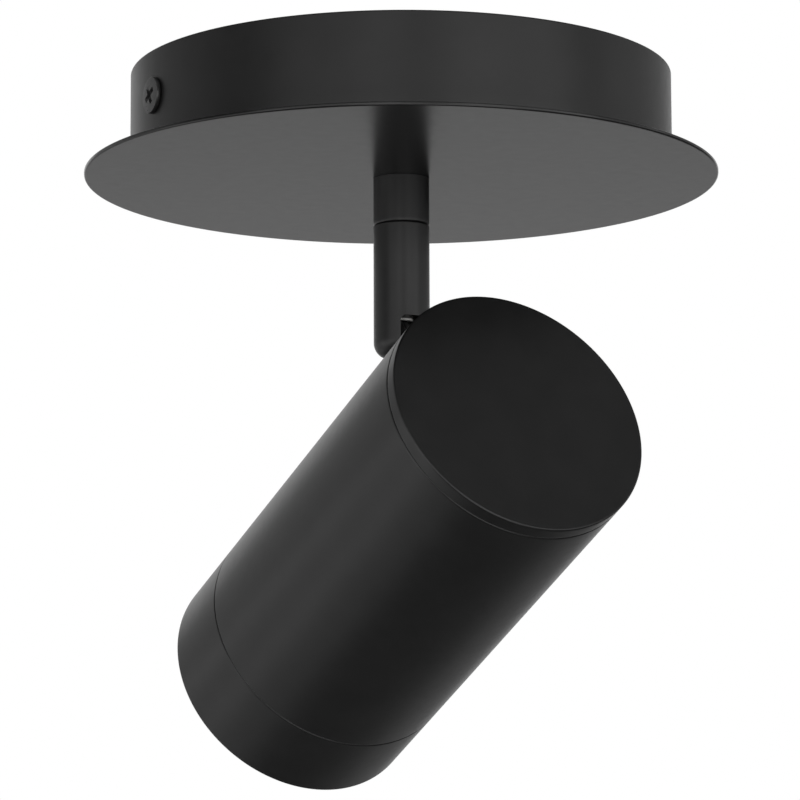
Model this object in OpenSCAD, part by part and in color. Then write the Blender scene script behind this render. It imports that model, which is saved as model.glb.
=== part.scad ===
// Adjustable ceiling spotlight on a round surface canopy.
// Millimetres, +Z up. The origin is on the ceiling plane, at the canopy's middle, and all hangs below it.
// The ceiling strap and its side screws lie along X. Names that end in _drop are depths below the ceiling.

/* [Canopy] */
// Diameter of the thin flange disc
flange_d = 136; // [128:0.5:150]
// Thickness of the flange disc
flange_t = 0.8; // [0.6:0.1:1.5]
// Outer diameter of the drum
drum_d = 116.3; // [110:0.1:124]
// Height of the drum, from the ceiling to the flange disc
drum_h = 21.5; // [21:0.1:32]
// Sheet thickness of the drum
drum_wall = 1; // [0.8:0.1:1.4]
// Outer bend radius at the drum's lower edge
drum_bend = 2.4; // [1.8:0.1:4]

/* [Ceiling strap] */
// Width of the strap
strap_w = 18; // [17:0.5:24]
// Sheet thickness of the strap
strap_t = 1.5; // [1.2:0.1:2]
// Outer bend radius where the strap turns down
strap_bend = 2.5; // [2.2:0.1:4]
// Distance between the middles of the two ceiling slots
slot_spacing = 70; // [66:1:74]
// Length of a ceiling slot, end to end
slot_l = 20; // [12:1:22]
// Width of a ceiling slot
slot_w = 4.8; // [4.2:0.1:5.5]
// Diameter of the hole that lets the supply cable in
entry_d = 13; // [11:0.5:14]
// Distance of the earth screw from the middle of the strap
earth_x = 16.5; // [15.5:0.5:18]

/* [Side screws] */
// Depth of the side screws' axis below the ceiling
side_screw_drop = 10; // [8:0.5:12]
// Thread diameter of a side screw
side_screw_d = 4; // [3:0.5:5]
// Length of a side screw under its head
side_screw_l = 6.5; // [5:0.5:10]
// Diameter of a side screw's head
side_head_d = 7.8; // [6.5:0.1:9]
// Height of a side screw's head
side_head_h = 1.4; // [1.2:0.1:2]
// Length of the cross recess, tip to tip
cross_l = 4.4; // [3.5:0.1:5]
// Width of one arm of the cross recess
cross_w = 0.9; // [0.7:0.1:1.2]
// Angle at which the side screws came to rest
cross_turn = 62; // [0:1:90]

/* [Nipple] */
// Thread diameter of the hollow nipple
nipple_d = 10; // [9.5:0.1:10.2]
// Bore of the nipple
nipple_bore = 7; // [6:0.1:7.4]
// Depth to which the nipple is screwed into the collar
nipple_in = 4.2; // [3.6:0.1:4.4]
// Length of nipple that stands above its nut
nipple_out = 1.5; // [1:0.1:2.5]
// Thickness of the nipple nut
nipple_nut_t = 3; // [2.5:0.1:3.5]
// Width of the nipple nut across its corners
nipple_nut_d = 16; // [15:0.5:17]
// Thickness of the flat washer
flat_washer_t = 1; // [0.8:0.1:1.5]
// Diameter of the flat washer
flat_washer_d = 21; // [18:0.5:24]
// Thickness of the toothed lock washer
lock_washer_t = 1; // [0.8:0.1:1.4]
// Diameter of the toothed lock washer
lock_washer_d = 15.5; // [14:0.5:17]

/* [Stem] */
// Diameter of the stem
stem_d = 12; // [11.8:0.1:13]
// Length of the fixed collar
collar_l = 10.3; // [10:0.1:14]
// Length of the stem, from the flange disc to its lower end
stem_l = 39.2; // [38.8:0.1:41]
// Distance from the flange disc to the tilt axis
pivot_drop_from_flange = 35.2; // [34.5:0.1:35.6]
// Radius of the stem's rounded lower edge
foot_bend = 3.4; // [1:0.1:3.6]
// Radius in the upper corners of the stem's slot
slot_corner = 1.2; // [0.5:0.1:1.4]
// Running gap at the seam between collar and rod
seam_gap = 0.15; // [0.1:0.05:0.4]
// Chamfer on each edge of a seam in the stem
seam_chamfer = 0.2; // [0.1:0.05:0.4]
// Diameter of the neck that turns in the collar
neck_d = 7.2; // [6.8:0.1:7.4]
// Bore of the rod for the cable
neck_bore = 4.4; // [4.2:0.1:4.8]
// Thickness of the collar's inner lip, which carries the rod
lip_t = 2.6; // [2.3:0.1:2.8]
// Thickness of the swivel's sliding washer
swivel_washer_t = 0.8; // [0.5:0.1:0.9]
// Thickness of the swivel nut
swivel_nut_t = 1.8; // [1.4:0.1:1.9]
// Diameter of the peg that stops the swivel
stop_pin_d = 0.8; // [0.6:0.1:0.9]
// Height of the stop peg above the rod's shoulder
stop_pin_out = 1; // [0.7:0.1:1.2]
// Depth of the groove in which the stop peg runs
stop_groove_h = 1.4; // [1.3:0.1:1.8]
// Turn of the swivel to each side of rest, at which the peg stops it
pan_range = 170; // [150:1:172]

/* [Tilt joint] */
// Turn of the head about the stem at rest, from the Y axis
pan_rest = 2.2; // [-60:0.1:60]
// Tilt of the head at rest: the angle from straight down to the way it shines
tilt_rest = 65.65; // [40:0.05:90]
// Width of the knuckle's tongue, which is also the diameter of its round end
tongue_w = 8.4; // [8:0.1:8.8]
// Thickness of the tongue
tongue_t = 5.8; // [5.5:0.1:6]
// Gap between tongue and slot on each side
tongue_gap = 0.2; // [0.15:0.05:0.3]
// Gap between the tongue's round end and the roof of the slot
roof_gap = 0.3; // [0.3:0.05:0.5]
// Diameter of the pivot screw
pivot_d = 3; // [2.8:0.1:3.2]
// Diameter of the pivot screw's head
pivot_head_d = 5; // [4.6:0.1:5.2]
// Height of the pivot screw's head
pivot_head_h = 1.2; // [1:0.1:1.3]
// Diameter of a friction washer
friction_d = 6.6; // [6:0.1:7]
// Depth of the recess in the tongue that holds a friction washer
friction_in = 0.3; // [0.2:0.05:0.4]
// Thickness of the channel through the knuckle, for the two cores
channel_t = 2.9; // [2.8:0.1:3]
// Width of the channel through the knuckle
channel_w = 6.4; // [6.2:0.1:6.8]

/* [Head] */
// Outer diameter of the head
head_d = 56.8; // [56:0.1:62]
// Length of the head
head_l = 107.7; // [106:0.1:125]
// Wall of the head's tube
head_wall = 2; // [1.6:0.1:2.2]
// Length of the rear cap's visible side
cap_l = 3.05; // [2.5:0.05:5]
// Depth of the rear cap's spigot in the tube
cap_spigot_l = 5; // [3:0.5:7]
// Wall of the rear cap's spigot
cap_spigot_wall = 2; // [1.5:0.1:3]
// Length of the front bezel
bezel_l = 19.9; // [16:0.1:24]
// Length of the tube's spigot in the bezel
spigot_l = 8; // [5:0.5:10]
// Wall of the tube's spigot
spigot_wall = 1; // [0.7:0.1:1.1]
// Height of the lip inside the bezel's front edge
front_lip_h = 0.8; // [0.5:0.1:1.1]
// Thickness of the bezel's front lip
front_lip_t = 2; // [1.5:0.1:3]
// Gap at each seam of the head
head_seam = 0.1; // [0.05:0.05:0.3]
// Chamfer on each edge of a seam in the head
head_chamfer = 0.2; // [0.1:0.05:0.5]
// Distance along the head from its rear face to the tilt axis
head_back = 35.4; // [35:0.1:37]
// Distance from the tilt axis to the head's skin
head_gap = 12.7; // [12:0.1:14]

/* [Knuckle foot] */
// Diameter of the knuckle's round foot on the head
knuckle_foot_d = 12; // [11:0.1:13]
// Height of the knuckle's foot above the head's skin
knuckle_foot_h = 2.6; // [2:0.1:3]
// Thread diameter of the hollow stud under the foot
stud_d = 8; // [7.5:0.1:8.4]
// Bore of the hollow stud
stud_bore = 4.8; // [4.4:0.1:5]
// Length of stud that stands past its nut
stud_out = 0.8; // [0.5:0.1:1.5]
// Thickness of the stud's nut
knuckle_nut_t = 3; // [2.5:0.1:3.5]
// Width of the stud's nut across its corners
knuckle_nut_d = 13.8; // [13:0.1:14]
// Thickness of the stud's washer
knuckle_washer_t = 0.8; // [0.5:0.1:1]
// Diameter of the stud's washer
knuckle_washer_d = 12.4; // [12:0.1:13]

/* [Lampholder] */
// Distance from the head's rear face to the lampholder
holder_at = 28; // [27.5:0.1:28.2]
// Diameter of the lampholder
holder_d = 26; // [25:0.5:28]
// Height of the lampholder
holder_h = 18; // [16:0.5:19]
// Thickness of the lampholder's front plate
holder_plate = 2; // [1.8:0.1:2.2]
// Depth of the chambers behind that plate
chamber_h = 4.5; // [4.2:0.1:5]
// Sheet thickness of the holder bracket
bracket_t = 1.2; // [1:0.1:1.4]
// Width of the bracket's leg under the knuckle
leg_w = 12; // [11.5:0.5:13]
// Length of the bracket's leg along the head
leg_l = 16; // [15.5:0.5:20]
// Distance between the two holder screws
holder_screw_spacing = 15; // [14:0.5:18]
// Thread diameter of a holder screw
holder_screw_d = 3; // [2.5:0.5:3]
// Length of a holder screw under its head
holder_screw_l = 8; // [6:0.5:10]
// Diameter of the small screws' heads
small_head_d = 5.4; // [5:0.1:5.8]
// Height of the small screws' heads
small_head_h = 1.9; // [1.6:0.1:2.2]

/* [Lamp] */
// Play between the lamp and the head's tube, all round
lamp_play = 1.4; // [1.2:0.1:2]
// Length of the lamp without its pins
lamp_l = 54; // [50:0.5:55]
// Diameter of the lamp's base
lamp_base_d = 25; // [23:0.5:26]
// Height of the lamp's base
lamp_base_h = 12; // [10:0.5:14]
// Length of the lamp's straight rim
lamp_rim_h = 9; // [7:0.5:11]
// Distance between the lamp's two pins
pin_spacing = 10; // [9.8:0.1:10.2]
// Diameter of a pin's neck
pin_neck_d = 2.5; // [2.3:0.1:2.8]
// Diameter of a pin's head
pin_head_d = 4.8; // [4.6:0.1:5]
// Height of a pin's head
pin_head_h = 3; // [2.5:0.1:3.2]
// Turn that frees the lamp from its holder
twist_range = 15; // [12:1:20]

/* [Cable] */
// Diameter of the sheathed cable
cable_d = 4; // [3.8:0.1:4.2]
// Diameter of one insulated core
core_d = 1.2; // [1:0.05:1.25]

/* [Terminal block] */
// Distance between two poles
pole_pitch = 10; // [9:0.5:11]
// Depth of the block, from one wire side to the other
block_w = 17; // [15:0.5:20]
// Height of the block's base
block_base_h = 9; // [8:0.5:9.5]
// Height of a pole's tower above the base
tower_h = 3.5; // [2:0.5:4]
// Width of a pole's tower
tower_w = 7; // [6:0.5:8]
// Distance of the block from the middle of the canopy
block_at = 24; // [22:0.5:30]
// Outer diameter of a brass insert
insert_d = 4.6; // [4.2:0.1:5]
// Bore of a brass insert
insert_bore = 2.9; // [2.8:0.1:3]
// Length of an insert
insert_l = 14; // [12:0.5:14.5]
// Height of the inserts' axis above the drum's floor
insert_rise = 6.5; // [5:0.1:6.8]

/* [Hidden] */
$fn = 64;

// Colours as the photo shows them, or as such pieces are
coat = "#1d1d1e";
zinc = "#b9bcc0";
brass = "#c9a24a";
white = "#eceae4";
sheath = "#2a2a2b";
live = "#6a4024";
neutral = "#3f6fb0";
earth = "#8fae3c";

// Clearances: a thread in its hole, a screw through a plate, a turning fit, two faces that nearly touch,
// and the tongue's chamfered corner in the slot's round one
thread_gap = 0.05;
pass_gap = 0.15;
run_gap = 0.05;
rest_gap = 0.1;
corner_gap = 0.2;
// A cut runs this far past the face that it opens
past = 1;

// Canopy and strap
flange_drop = drum_h + flange_t;
floor_drop = drum_h - drum_wall;
drum_r = drum_d / 2;
strap_x = sqrt(pow(drum_r - drum_wall, 2) - pow(strap_w / 2, 2)) - rest_gap;
tab_below_screw = 5;
tab_drop = side_screw_drop + tab_below_screw;
tag_t = 0.8;
tag_d = 16;
tag_tail_w = 3.4;
barrel_r = 1.2;
barrel_l = 4;
earth_tag_d = 8;
earth_screw_d = 4;

// The nipple's stack, from the drum's floor up
stack_washer = floor_drop - flat_washer_t;
stack_tag = stack_washer - tag_t;
stack_lock = stack_tag - lock_washer_t;
stack_nut = stack_lock - nipple_nut_t;
nipple_top = stack_nut - nipple_out;
bush_rim_h = 1.2;
bush_in = 5;
sheath_top = nipple_top - bush_rim_h - 1;

// Stem
stem_r = stem_d / 2;
collar_end = flange_drop + collar_l;
lip_top = collar_end - lip_t;
rod_top = collar_end + seam_gap;
rod_end = flange_drop + stem_l;
pivot_drop = flange_drop + pivot_drop_from_flange;
neck_past_nut = 0.3;
washer_top = lip_top - swivel_washer_t;
nut_top = washer_top - swivel_nut_t;
neck_top = nut_top - neck_past_nut;
stop_r = (neck_d / 2 + stem_r) / 2;
stop_groove_w = stop_pin_d + 0.3;
stop_pin_in = 2;
stop_clear = 0.5;
land_angle = 2 * (180 - pan_range - asin(stop_pin_d / 2 / stop_r) - stop_clear);
slot_roof = pivot_drop - tongue_w / 2 - roof_gap;
slot_half = tongue_t / 2 + tongue_gap;
tongue_chamfer = (2 - sqrt(2)) * slot_corner + sqrt(2) * corner_gap - tongue_gap - roof_gap;
sheath_end = slot_roof - 1.5;

// Pivot screw, along the tilt axis: its head's outer face lies just inside the stem's round side
pivot_head_out = sqrt(pow(stem_r, 2) - pow(pivot_head_d / 2 + pass_gap, 2)) - rest_gap;
pivot_head_seat = pivot_head_out - pivot_head_h;
pivot_blind = stem_r - 0.8;

// Head, along its own axis from its rear face
head_r = head_d / 2;
tube_r = head_r - head_wall;
opening_d = 2 * (tube_r - front_lip_h);
lamp_d = 2 * (tube_r - lamp_play);
head_off = head_gap + head_r;
bezel_at = head_l - bezel_l;
spigot_r = tube_r + spigot_wall;
leg_y = sqrt(pow(tube_r, 2) - pow(leg_w / 2, 2)) - rest_gap;
washer_y = leg_y - bracket_t;
nut_y = washer_y - knuckle_washer_t;
stud_end_y = nut_y - knuckle_nut_t - stud_out;
bracket_plate_r = holder_d / 2 + 0.5;
holder_face = holder_at + holder_h;
lamp_at = holder_face + 0.3;
lamp_face = lamp_at + lamp_l;
pin_r = pin_spacing / 2;
pin_neck_l = holder_plate + 0.8;
pin_in = 3;
chamber_floor = holder_face - holder_plate - chamber_h;
pin_tip = lamp_at - pin_neck_l - pin_head_h;
core_hole_r = core_d / 2 + pass_gap;
contact_tail_l = 5;
board_t = 1.6;
lens_t = 3.2;
lens_in = 0.8;
lamp_wall = 1.4;
lamp_cavity_r = lamp_d / 2 - 5;
lamp_cavity_h = 12;
shoulder_at = lamp_face - lens_in - lens_t;

// Cores: half the distance between the two of a pair, and the places where they pass
core_x = core_d / 2 + 0.1;
core_sides = 8;
core_pass = -(pivot_d / 2 + channel_w / 2) / 2;
core_split = 3;
window_y = stud_end_y - 3;
window_w = 5.2;
window_h = 6;
// The supply cores' crest, their slope down to the block, and their lead into it
crest_rise = 3.4;
crest_y = 4;
slope_y = 10;
slope_rise = 2.4;
pole_lead = 4.5;
// The head's cores: into the knuckle, through the bracket's window and back into the holder
channel_in = 3;
channel_end = 8;
window_lead = 2.6;
turn_at = 24;
run_at = 20.5;
run_end = 4;
contact_in = 3;

// Terminal block
poles = [-pole_pitch, 0, pole_pitch];
block_l = 3 * pole_pitch;
ear_l = 6;
ear_h = 3;
insert_drop = floor_drop - insert_rise;
block_mid = -block_at - block_w / 2;
clamp_y = [block_mid + insert_l / 4, block_mid - insert_l / 4];
clamp_d = 2.6;
clamp_hole_d = clamp_d + 2 * pass_gap;
clamp_shaft_d = clamp_d + 1.2;
fixing_d = 3;
fixing_x = block_l / 2 + ear_l / 2;

module down(d) translate([0, 0, -d]) children();
module turned() rotate([0, 0, pan_rest]) children();
// The head's frame: X along the tilt axis, Y from the axis towards the head, Z the way the head shines
module at_pivot() down(pivot_drop) rotate([180 + tilt_rest, 0, pan_rest]) children();
// The same directions, with the origin at the middle of the head's rear face
module at_head() at_pivot() translate([0, head_off, -head_back]) children();

// A vertical round piece between two depths
module column(r, top, bottom) down(bottom) cylinder(r = r, h = bottom - top);
module ring(r, bore, top, bottom) difference() {
    column(r, top, bottom);
    column(bore, top - past, bottom + past);
}
// Half outline of a round piece with its lower outer edge rounded
module rounded_outline(r, h, bend) intersection() {
    square([r, h]);
    union() {
        square([r - bend, h]);
        translate([0, bend]) square([r, h - bend]);
        translate([r - bend, bend]) circle(bend);
    }
}
// Outline of a round piece from z0 to z1 with a chamfer at each outer edge
module chamfered(r, z0, z1, c0, c1)
    rotate_extrude() polygon([[0, z0], [r - c0, z0], [r, z0 + c0], [r, z1 - c1], [r - c1, z1], [0, z1]]);
// Screw along Z with a domed head above z = 0 and a cross recess
module domed_screw(d, l, head_d, head_h, recess_l, recess_w, turn) {
    rim = head_h * 0.55;
    dome = head_h - rim;
    dome_r = (pow(head_d / 2, 2) + pow(dome, 2)) / (2 * dome);
    recess_h = head_h * 0.65;
    difference() {
        union() {
            cylinder(d = head_d, h = rim);
            intersection() {
                translate([0, 0, head_h - dome_r]) sphere(dome_r);
                cylinder(d = head_d, h = head_h);
            }
        }
        for (a = [0, 90]) rotate(turn + a)
            translate([-recess_l / 2, -recess_w / 2, head_h - recess_h]) cube([recess_l, recess_w, head_h]);
    }
    translate([0, 0, -l]) cylinder(d = d, h = l);
}

function unit(v) = v / norm(v);
// Smooth curve through the points, each stretch in `steps` pieces
function smooth_path(p, steps) = concat(
    [for (i = [0 : len(p) - 2], k = [0 : steps - 1])
        let (t = k / steps, a = p[max(i - 1, 0)], b = p[i], c = p[i + 1], d = p[min(i + 2, len(p) - 1)])
        0.5 * (2 * b + (c - a) * t + (2 * a - 5 * b + 4 * c - d) * pow(t, 2)
            + (3 * b - a - 3 * c + d) * pow(t, 3))],
    [p[len(p) - 1]]);
function along(q) = [for (i = [0 : len(q) - 1]) unit(q[min(i + 1, len(q) - 1)] - q[max(i - 1, 0)])];
// Carries a side direction along the curve without twisting it
function carried(t, n, i) = i == len(t) ? [] :
    let (m = unit(n - (n * t[i]) * t[i])) concat([m], carried(t, m, i + 1));
// A core along the points: rings of `core_sides` corners, closed at both ends
module core(points, r, side = [1, 0.1, 0.05], steps = 4) {
    q = smooth_path(points, steps);
    t = along(q);
    n = carried(t, side, 0);
    s = core_sides;
    rings = [for (i = [0 : len(q) - 1], k = [0 : s - 1])
        q[i] + r * (cos(360 * k / s) * n[i] + sin(360 * k / s) * cross(t[i], n[i]))];
    last = (len(q) - 1) * s;
    sides = [for (i = [0 : len(q) - 2], k = [0 : s - 1])
        let (a = i * s + k, b = i * s + (k + 1) % s) each [[a, a + s, b], [b, a + s, b + s]]];
    polyhedron(rings, concat(sides, [[for (k = [0 : s - 1]) k]], [[for (k = [s - 1 : -1 : 0]) last + k]]));
}

module canopy_drum() color(coat) difference() {
    down(drum_h) rotate_extrude() difference() {
        rounded_outline(drum_r, drum_h, drum_bend);
        translate([0, drum_wall]) rounded_outline(drum_r - drum_wall, drum_h, drum_bend - drum_wall);
    }
    column(nipple_d / 2 + pass_gap, floor_drop - past, drum_h + past);
    for (x = [-1, 1]) {
        down(side_screw_drop) rotate([0, 90 * x, 0]) translate([0, 0, drum_r - 2 * drum_wall])
            cylinder(d = side_screw_d + 2 * pass_gap, h = 3 * drum_wall);
        translate([fixing_x * x, block_mid, 0])
            column(fixing_d / 2 + thread_gap, floor_drop - past, drum_h + past);
    }
}

module flange_plate() color(coat) ring(flange_d / 2, nipple_d / 2 + pass_gap, drum_h, flange_drop);

// Side view of the strap's bend at +X
module strap_corner() translate([strap_x - strap_bend, -strap_bend]) intersection() {
    difference() {
        circle(strap_bend);
        circle(strap_bend - strap_t);
    }
    square(strap_bend);
}
module ceiling_bracket() color(zinc) difference() {
    rotate([90, 0, 0]) linear_extrude(strap_w, center = true) {
        translate([-strap_x + strap_bend, -strap_t]) square([2 * (strap_x - strap_bend), strap_t]);
        for (x = [0, 1]) mirror([x, 0]) {
            strap_corner();
            translate([strap_x - strap_t, -tab_drop]) square([strap_t, tab_drop - strap_bend]);
        }
    }
    column(entry_d / 2, -past, strap_t + past);
    translate([earth_x, 0, 0]) column(earth_screw_d / 2 + thread_gap, -past, strap_t + past);
    for (x = [-1, 1]) {
        for (end = [-1, 1]) translate([(slot_spacing * x + (slot_l - slot_w) * end) / 2, 0, 0])
            column(slot_w / 2, -past, strap_t + past);
        translate([(slot_spacing * x - slot_l + slot_w) / 2, -slot_w / 2, -strap_t - past])
            cube([slot_l - slot_w, slot_w, strap_t + 2 * past]);
        down(side_screw_drop) rotate([0, 90 * x, 0]) translate([0, 0, strap_x - strap_t - past])
            cylinder(d = side_screw_d + 2 * thread_gap, h = strap_t + 2 * past);
    }
}

module canopy_screws() color(coat) for (x = [0, 1]) mirror([x, 0, 0])
    down(side_screw_drop) translate([drum_r, 0, 0]) rotate([0, 90, 0])
        domed_screw(side_screw_d, side_screw_l, side_head_d, side_head_h, cross_l, cross_w, cross_turn);

module earth_screw() color(brass) translate([earth_x, 0, -strap_t - tag_t]) rotate([180, 0, 0])
    domed_screw(earth_screw_d, strap_t + tag_t, small_head_d + 1, small_head_h, cross_l, cross_w, 30);

// Ring tag lying flat, its upper face at z = 0, with a barrel for the wire towards -Y
module ring_tag(d, hole_d, barrel_y, barrel_z) difference() {
    union() {
        down(tag_t) cylinder(d = d, h = tag_t);
        translate([-tag_tail_w / 2, -barrel_y - 1, -tag_t]) cube([tag_tail_w, barrel_y + 1, tag_t]);
        translate([0, -barrel_y, barrel_z]) rotate([90, 0, 0]) cylinder(r = barrel_r, h = barrel_l);
    }
    down(tag_t + past) cylinder(d = hole_d, h = tag_t + 2 * past);
    translate([0, -barrel_y - 1, barrel_z]) rotate([90, 0, 0])
        cylinder(r = core_d / 2 + thread_gap, h = barrel_l);
}
nipple_barrel_y = tag_d / 2 + 2;
earth_barrel_y = strap_w / 2 + 1;
nipple_barrel_z = 0.4;
earth_barrel_z = -0.6;
module earth_tags() color(zinc) {
    down(stack_tag) ring_tag(tag_d, nipple_d + 2 * pass_gap, nipple_barrel_y, nipple_barrel_z);
    translate([earth_x, 0, -strap_t])
        ring_tag(earth_tag_d, earth_screw_d + 2 * pass_gap, earth_barrel_y, earth_barrel_z);
}

crimp_in = 1.2;
past_crimp = 0.2;
// A lead's straight start in its tag's barrel
function crimped(tag) = [tag, tag - [0, barrel_l - crimp_in + past_crimp, 0], tag - [0, barrel_l, 0]];
// Where a core enters its pole, and where it ends inside
function at_pole(x) = [x, -block_at + 2.5, -insert_drop];
function in_pole(x) = [x, -block_at - 4, -insert_drop];
module earth_leads() color(earth) {
    tag1 = [0, -nipple_barrel_y - crimp_in, -stack_tag + nipple_barrel_z];
    tag2 = [earth_x, -earth_barrel_y - crimp_in, -strap_t + earth_barrel_z];
    out1 = crimped(tag1)[2];
    out2 = crimped(tag2)[2];
    mid1 = (out1 + at_pole(-core_x)) / 2;
    core(concat(crimped(tag1), [mid1, at_pole(-core_x), in_pole(-core_x)]), core_d / 2);
    core(concat(crimped(tag2), [out2 + [-1.5, -3.2, -1.6],
        [earth_x * 0.4, out2[1] - 3.4, (out2[2] - insert_drop) / 2],
        at_pole(core_x) + [0.9, 3, 2], at_pole(core_x) + [0.05, 0.6, 0.2], in_pole(core_x)]), core_d / 2);
}

module stem_nipple() color(zinc) ring(nipple_d / 2, nipple_bore / 2, nipple_top, flange_drop + nipple_in);
module nipple_nut() color(zinc) difference() {
    down(stack_lock) cylinder(d = nipple_nut_d, h = nipple_nut_t, $fn = 6);
    column(nipple_d / 2 + thread_gap, stack_nut - past, stack_lock + past);
}
// Toothed washer: a ring with notches round its edge
module lock_washer() color(zinc) difference() {
    ring(lock_washer_d / 2, nipple_d / 2 + pass_gap, stack_lock, stack_tag);
    for (a = [0 : 30 : 330]) rotate(a) translate([lock_washer_d / 2 - 1, -0.6, -stack_tag - past])
        cube([2, 1.2, lock_washer_t + 2 * past]);
}
module flat_washer() color(zinc) ring(flat_washer_d / 2, nipple_d / 2 + pass_gap, stack_washer, floor_drop);
module cable_bush() color(sheath) difference() {
    union() {
        column(nipple_d / 2 - 0.2, nipple_top - bush_rim_h, nipple_top);
        column(nipple_bore / 2 - thread_gap, nipple_top - 0.1, nipple_top + bush_in);
    }
    column(cable_d / 2 + thread_gap, nipple_top - bush_rim_h - past, nipple_top + bush_in + past);
}

module cable_canopy() color(sheath) column(cable_d / 2, sheath_top, neck_top - rest_gap);
module stem_cable() color(sheath) column(cable_d / 2, neck_top, sheath_end);
// The live and the neutral core, from the sheath over to the outer poles
module supply_cores() for (side = [-1, 1]) color(side < 0 ? live : neutral) {
    start = [core_x * side, 0, rest_gap - sheath_top];
    pole = at_pole(pole_pitch * side);
    core([start, start + [0.1 * side, -0.6, crest_rise / 2], start + [side, -crest_y, crest_rise],
        start + [3 * side, -slope_y, slope_rise], pole + [-side, pole_lead, 1.2], pole,
        in_pole(pole_pitch * side)], core_d / 2);
}

module terminal_block() color(white) difference() {
    union() {
        translate([-block_l / 2, -block_at - block_w, -floor_drop]) cube([block_l, block_w, block_base_h]);
        for (x = poles) translate([x - tower_w / 2, -block_at - block_w, -floor_drop])
            cube([tower_w, block_w, block_base_h + tower_h]);
        translate([-block_l / 2 - ear_l, block_mid - ear_l / 2, -floor_drop])
            cube([block_l + 2 * ear_l, ear_l, ear_h]);
    }
    for (x = poles) {
        translate([x, -block_at + past, -insert_drop]) rotate([90, 0, 0])
            cylinder(d = insert_d + 2 * thread_gap, h = block_w + 2 * past);
        for (y = clamp_y) translate([x, y, -insert_drop])
            cylinder(d = clamp_shaft_d, h = block_base_h + tower_h);
    }
    for (x = [-1, 1]) translate([fixing_x * x, block_mid, -floor_drop - past])
        cylinder(d = fixing_d + 2 * pass_gap, h = ear_h + 2 * past);
}
module terminal_inserts() color(brass) for (x = poles) difference() {
    translate([x, -block_at - (block_w - insert_l) / 2, -insert_drop]) rotate([90, 0, 0]) difference() {
        cylinder(d = insert_d, h = insert_l);
        translate([0, 0, -past]) cylinder(d = insert_bore, h = insert_l + 2 * past);
    }
    for (y = clamp_y) translate([x, y, -insert_drop]) cylinder(d = clamp_hole_d, h = insert_d);
}
// Slotted clamp screws: each stands in its insert's wall, with its top inside the tower
module terminal_screws() color(zinc) for (x = poles, y = clamp_y) difference() {
    foot = -insert_drop + insert_bore / 2 + 0.1;
    top = -floor_drop + block_base_h + tower_h - 1;
    translate([x, y, foot]) cylinder(d = clamp_d, h = top - foot);
    translate([x - clamp_d, y - 0.3, top - 0.8]) cube([2 * clamp_d, 0.6, 2]);
}
module terminal_fixing_screws() color(zinc) for (x = [-1, 1])
    translate([fixing_x * x, block_mid, -floor_drop + ear_h])
        domed_screw(fixing_d, ear_h + drum_wall - rest_gap, small_head_d, small_head_h, 2.8, 0.7, 20 * x);

module stem_collar() color(coat) difference() {
    chamfered(stem_r, -collar_end, -flange_drop, seam_chamfer, 0);
    column(nipple_d / 2 + thread_gap, flange_drop - past, lip_top);
    column(neck_d / 2 + run_gap, lip_top - past, collar_end + past);
    // Groove for the stop peg, closed by a land opposite the peg
    down(collar_end + past) rotate(180 + land_angle / 2) rotate_extrude(angle = 360 - land_angle)
        translate([stop_r - stop_groove_w / 2, 0]) square([stop_groove_w, past + stop_groove_h]);
}

module rod_slot() rotate([90, 0, 0]) linear_extrude(2 * stem_d, center = true) {
    low = -rod_end - past;
    translate([-slot_half, low]) square([2 * slot_half, -slot_roof - slot_corner - low]);
    translate([-slot_half + slot_corner, low]) square([2 * (slot_half - slot_corner), -slot_roof - low]);
    for (x = [-1, 1]) translate([(slot_half - slot_corner) * x, -slot_roof - slot_corner])
        circle(slot_corner);
}
module stem_rod() color(coat) turned() difference() {
    union() {
        intersection() {
            down(rod_end) rotate_extrude() rounded_outline(stem_r, rod_end - rod_top, foot_bend);
            chamfered(stem_r, -rod_end - past, -rod_top, 0, seam_chamfer);
        }
        column(neck_d / 2, neck_top, rod_top + past);
    }
    column(neck_bore / 2, neck_top - past, slot_roof + past);
    rod_slot();
    down(pivot_drop) rotate([0, 90, 0]) {
        translate([0, 0, -pivot_blind]) cylinder(d = pivot_d + 2 * run_gap, h = pivot_blind + stem_r);
        translate([0, 0, pivot_head_seat]) cylinder(d = pivot_head_d + 2 * pass_gap, h = stem_r);
    }
    rotate(-pan_rest) translate([stop_r, 0, 0])
        column(stop_pin_d / 2 + thread_gap / 2, rod_top - past, rod_top + stop_pin_in);
}
module stop_pin() color(zinc) translate([stop_r, 0, 0])
    column(stop_pin_d / 2, rod_top - stop_pin_out, rod_top + stop_pin_in - rest_gap);
module swivel_washer() color(white) ring(nipple_d / 2 - 0.3, neck_d / 2 + run_gap, washer_top, lip_top);
module swivel_nut() color(zinc) difference() {
    down(washer_top) cylinder(d = nipple_d - 0.4, h = swivel_nut_t, $fn = 6);
    column(neck_d / 2 + thread_gap, nut_top - past, washer_top + past);
}

module pivot_screw() color(zinc) down(pivot_drop) turned() rotate([0, 90, 0]) difference() {
    union() {
        translate([0, 0, -pivot_blind + rest_gap]) cylinder(d = pivot_d, h = pivot_blind + pivot_head_seat);
        translate([0, 0, pivot_head_seat]) cylinder(d = pivot_head_d, h = pivot_head_h);
    }
    translate([0, 0, pivot_head_out - pivot_head_h * 0.7])
        cylinder(d = pivot_d * 0.75, h = past + pivot_head_h, $fn = 6);
}

module chamfered_bar(w, h, c) polygon([[c - w / 2, -h / 2], [w / 2 - c, -h / 2], [w / 2, c - h / 2],
    [w / 2, h / 2 - c], [w / 2 - c, h / 2], [c - w / 2, h / 2], [-w / 2, h / 2 - c], [-w / 2, c - h / 2]]);
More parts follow.
